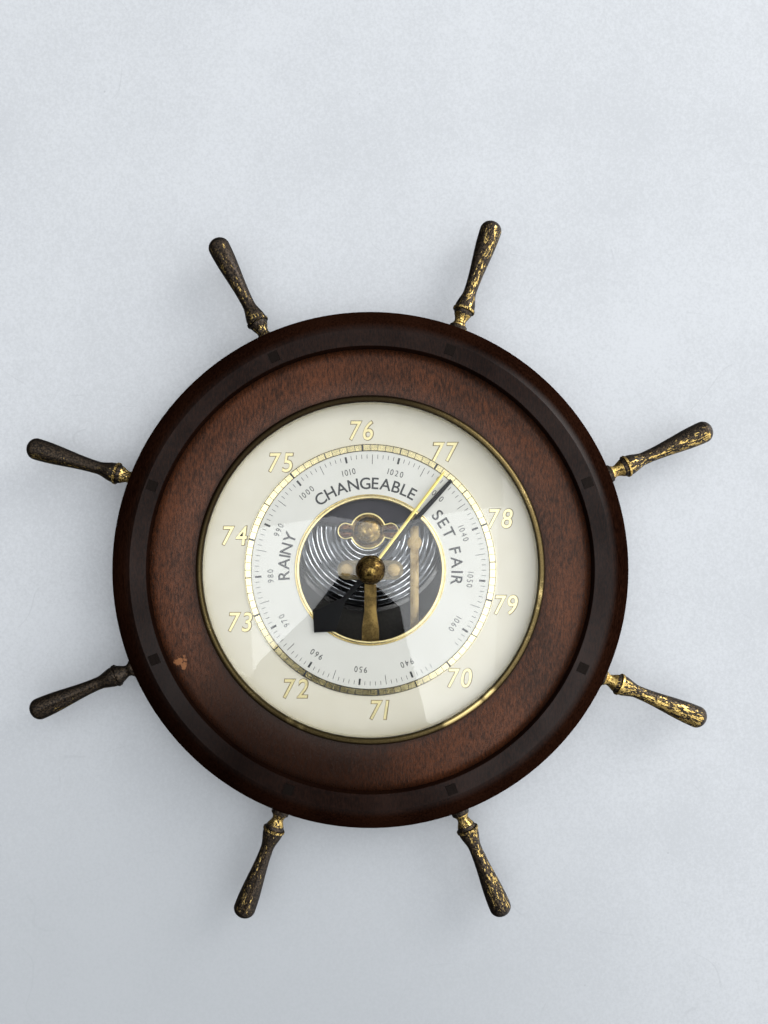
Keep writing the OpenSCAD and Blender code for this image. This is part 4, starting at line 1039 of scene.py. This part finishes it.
board = Finish("pale_wall", Roughness=0.9)
blotch = board.noise(14, 4.0, 0.6)
warped = board.noise(7, 2.0, 0.4, board.stretched(3.0, z=1.6))
scratches = board.math("ABSOLUTE", warped - 0.5).ease(0.0012, 0.0004)
scratches = scratches * board.noise(60, 1.0, 0.5).ease(0.52, 0.6)
sparse = board.noise(45, 1.0, 0.5, board.stretched(8.0)).ease(0.62, 0.66)
specks = board.cells(130).ease(0.07, 0.03) * sparse
grain = board.noise(900, 3.0, 0.7)
tint = board.blend((blotch * 0.4 + grain * 0.6).ease(0.36, 0.64), srgb(193, 197, 202), srgb(205, 209, 214))
tint = board.blend(scratches * 0.25 + specks * 0.6, tint, srgb(164, 168, 174))
# Painted shade: the wall darkens towards the lower left.
lower_left_shade = board.away_from(-90, -290, 0).ease(330, 110, 0.0, 0.7)
board.feed("Base Color", board.blend(lower_left_shade, tint, srgb(166, 171, 176)))
board.bump(board.noise(420, 2.0, 0.5) - scratches * 0.4, 0.06, 0.0002)
board.show_mix(board.node("NewGeometry", output="Backfacing"), Tap(board, board.surface.outputs[0]),
               board.node("BsdfTransparent"))
half = 3.0
wall_y = 0.0004
wall = quad("wall", [(x, wall_y, z) for x, z in rect(-half, half, -half, half)], board)
hide_from(wall, "diffuse", "glossy", "shadow")

# %% [markdown]
# Glass and gold show what they mirror. Out of doors that is a bright sky on the right and on the
# left, a dim eave above, and a dark shape below. Four cards behind the camera stand for them.
# Only reflections see them, so they light nothing.

# %% Cards that only reflections see
def glowing(name, strength):
    return Finish(name, Base_Color=(0, 0, 0, 1), Emission_Color=(0.95, 0.98, 1.0, 1),
                  Emission_Strength=strength)


dark_card = Finish("dark_card", Base_Color=(0.006, 0.006, 0.007, 1), Roughness=1.0)
sky_card = glowing("sky_card", 2.4)
left_card = glowing("left_sky_card", 2.5)
eave_card = glowing("eave_card", 0.7)
near, behind = 0.5, 0.51


def card(name, finish, away, points):
    item = quad(name, [(x * MM, -away, dial_up + y * MM) for x, y in points], finish)
    hide_from(item, "camera", "diffuse", "shadow", "transmission")


card("card_below", dark_card, near, [(-50, -4), (-10, -14), (11, -28), (53, -66), (65, -126), (102, -266),
                                     (150, -500), (-420, -500), (-206, -169), (-103, -72)])
card("card_above", eave_card, near, [(-66, 96), (30, 78), (110, 98), (250, 120), (250, 420), (-330, 420),
                                     (-330, 60)])
card("card_sky", sky_card, behind, rect(0, 240, -300, 400))
card("card_left_sky", left_card, behind, rect(-225, 0, -300, 400))
print("cards half a metre in front of the wall")

# %% [markdown]
# The light comes mostly from the right and the front. The world gives it: its brightness depends
# on the direction alone, and it is dimmer above, where the eave is. One lamp adds the crisp
# lines that turned brass and varnish show. Seen directly, the world is an even pale grey.

# %% Lights and world
lamp = bpy.data.lights.new("key_lamp", "AREA")
lamp.size = 0.7
lamp.energy = 7.0
lamp.color = (1.0, 0.98, 0.95)
key = add_object("key_lamp", lamp)
key.location = (0.95, -0.62, 0.62)
key.rotation_euler = (Vector((0, 0, dial_up)) - key.location).to_track_quat("-Z", "Y").to_euler()

world = bpy.data.worlds.new("room")
bpy.context.scene.world = world
room = Network(world, "World Output")
toward = room.node("TexCoord", output="Generated")
side = room.vector_math("DOT_PRODUCT", toward, Vector((0.74, -0.66, 0.1)).normalized())
height = room.node("SeparateXYZ", {}, {0: toward}, output="Z")
strength = side.ease(-0.5, 1.0, 0.06, 1.75) * room.math("ABSOLUTE", height).ease(0.35, 0.95, 1.0, 0.5)
light = room.node("Background", {}, {"Color": (0.98, 0.99, 1.0, 1), "Strength": strength})
backdrop = room.node("Background", {}, {"Color": (0.72, 0.75, 0.78, 1), "Strength": 1.0})
room.show_mix(room.node("LightPath", output="Is Camera Ray"), light, backdrop)
print("key lamp", lamp.energy, "W")
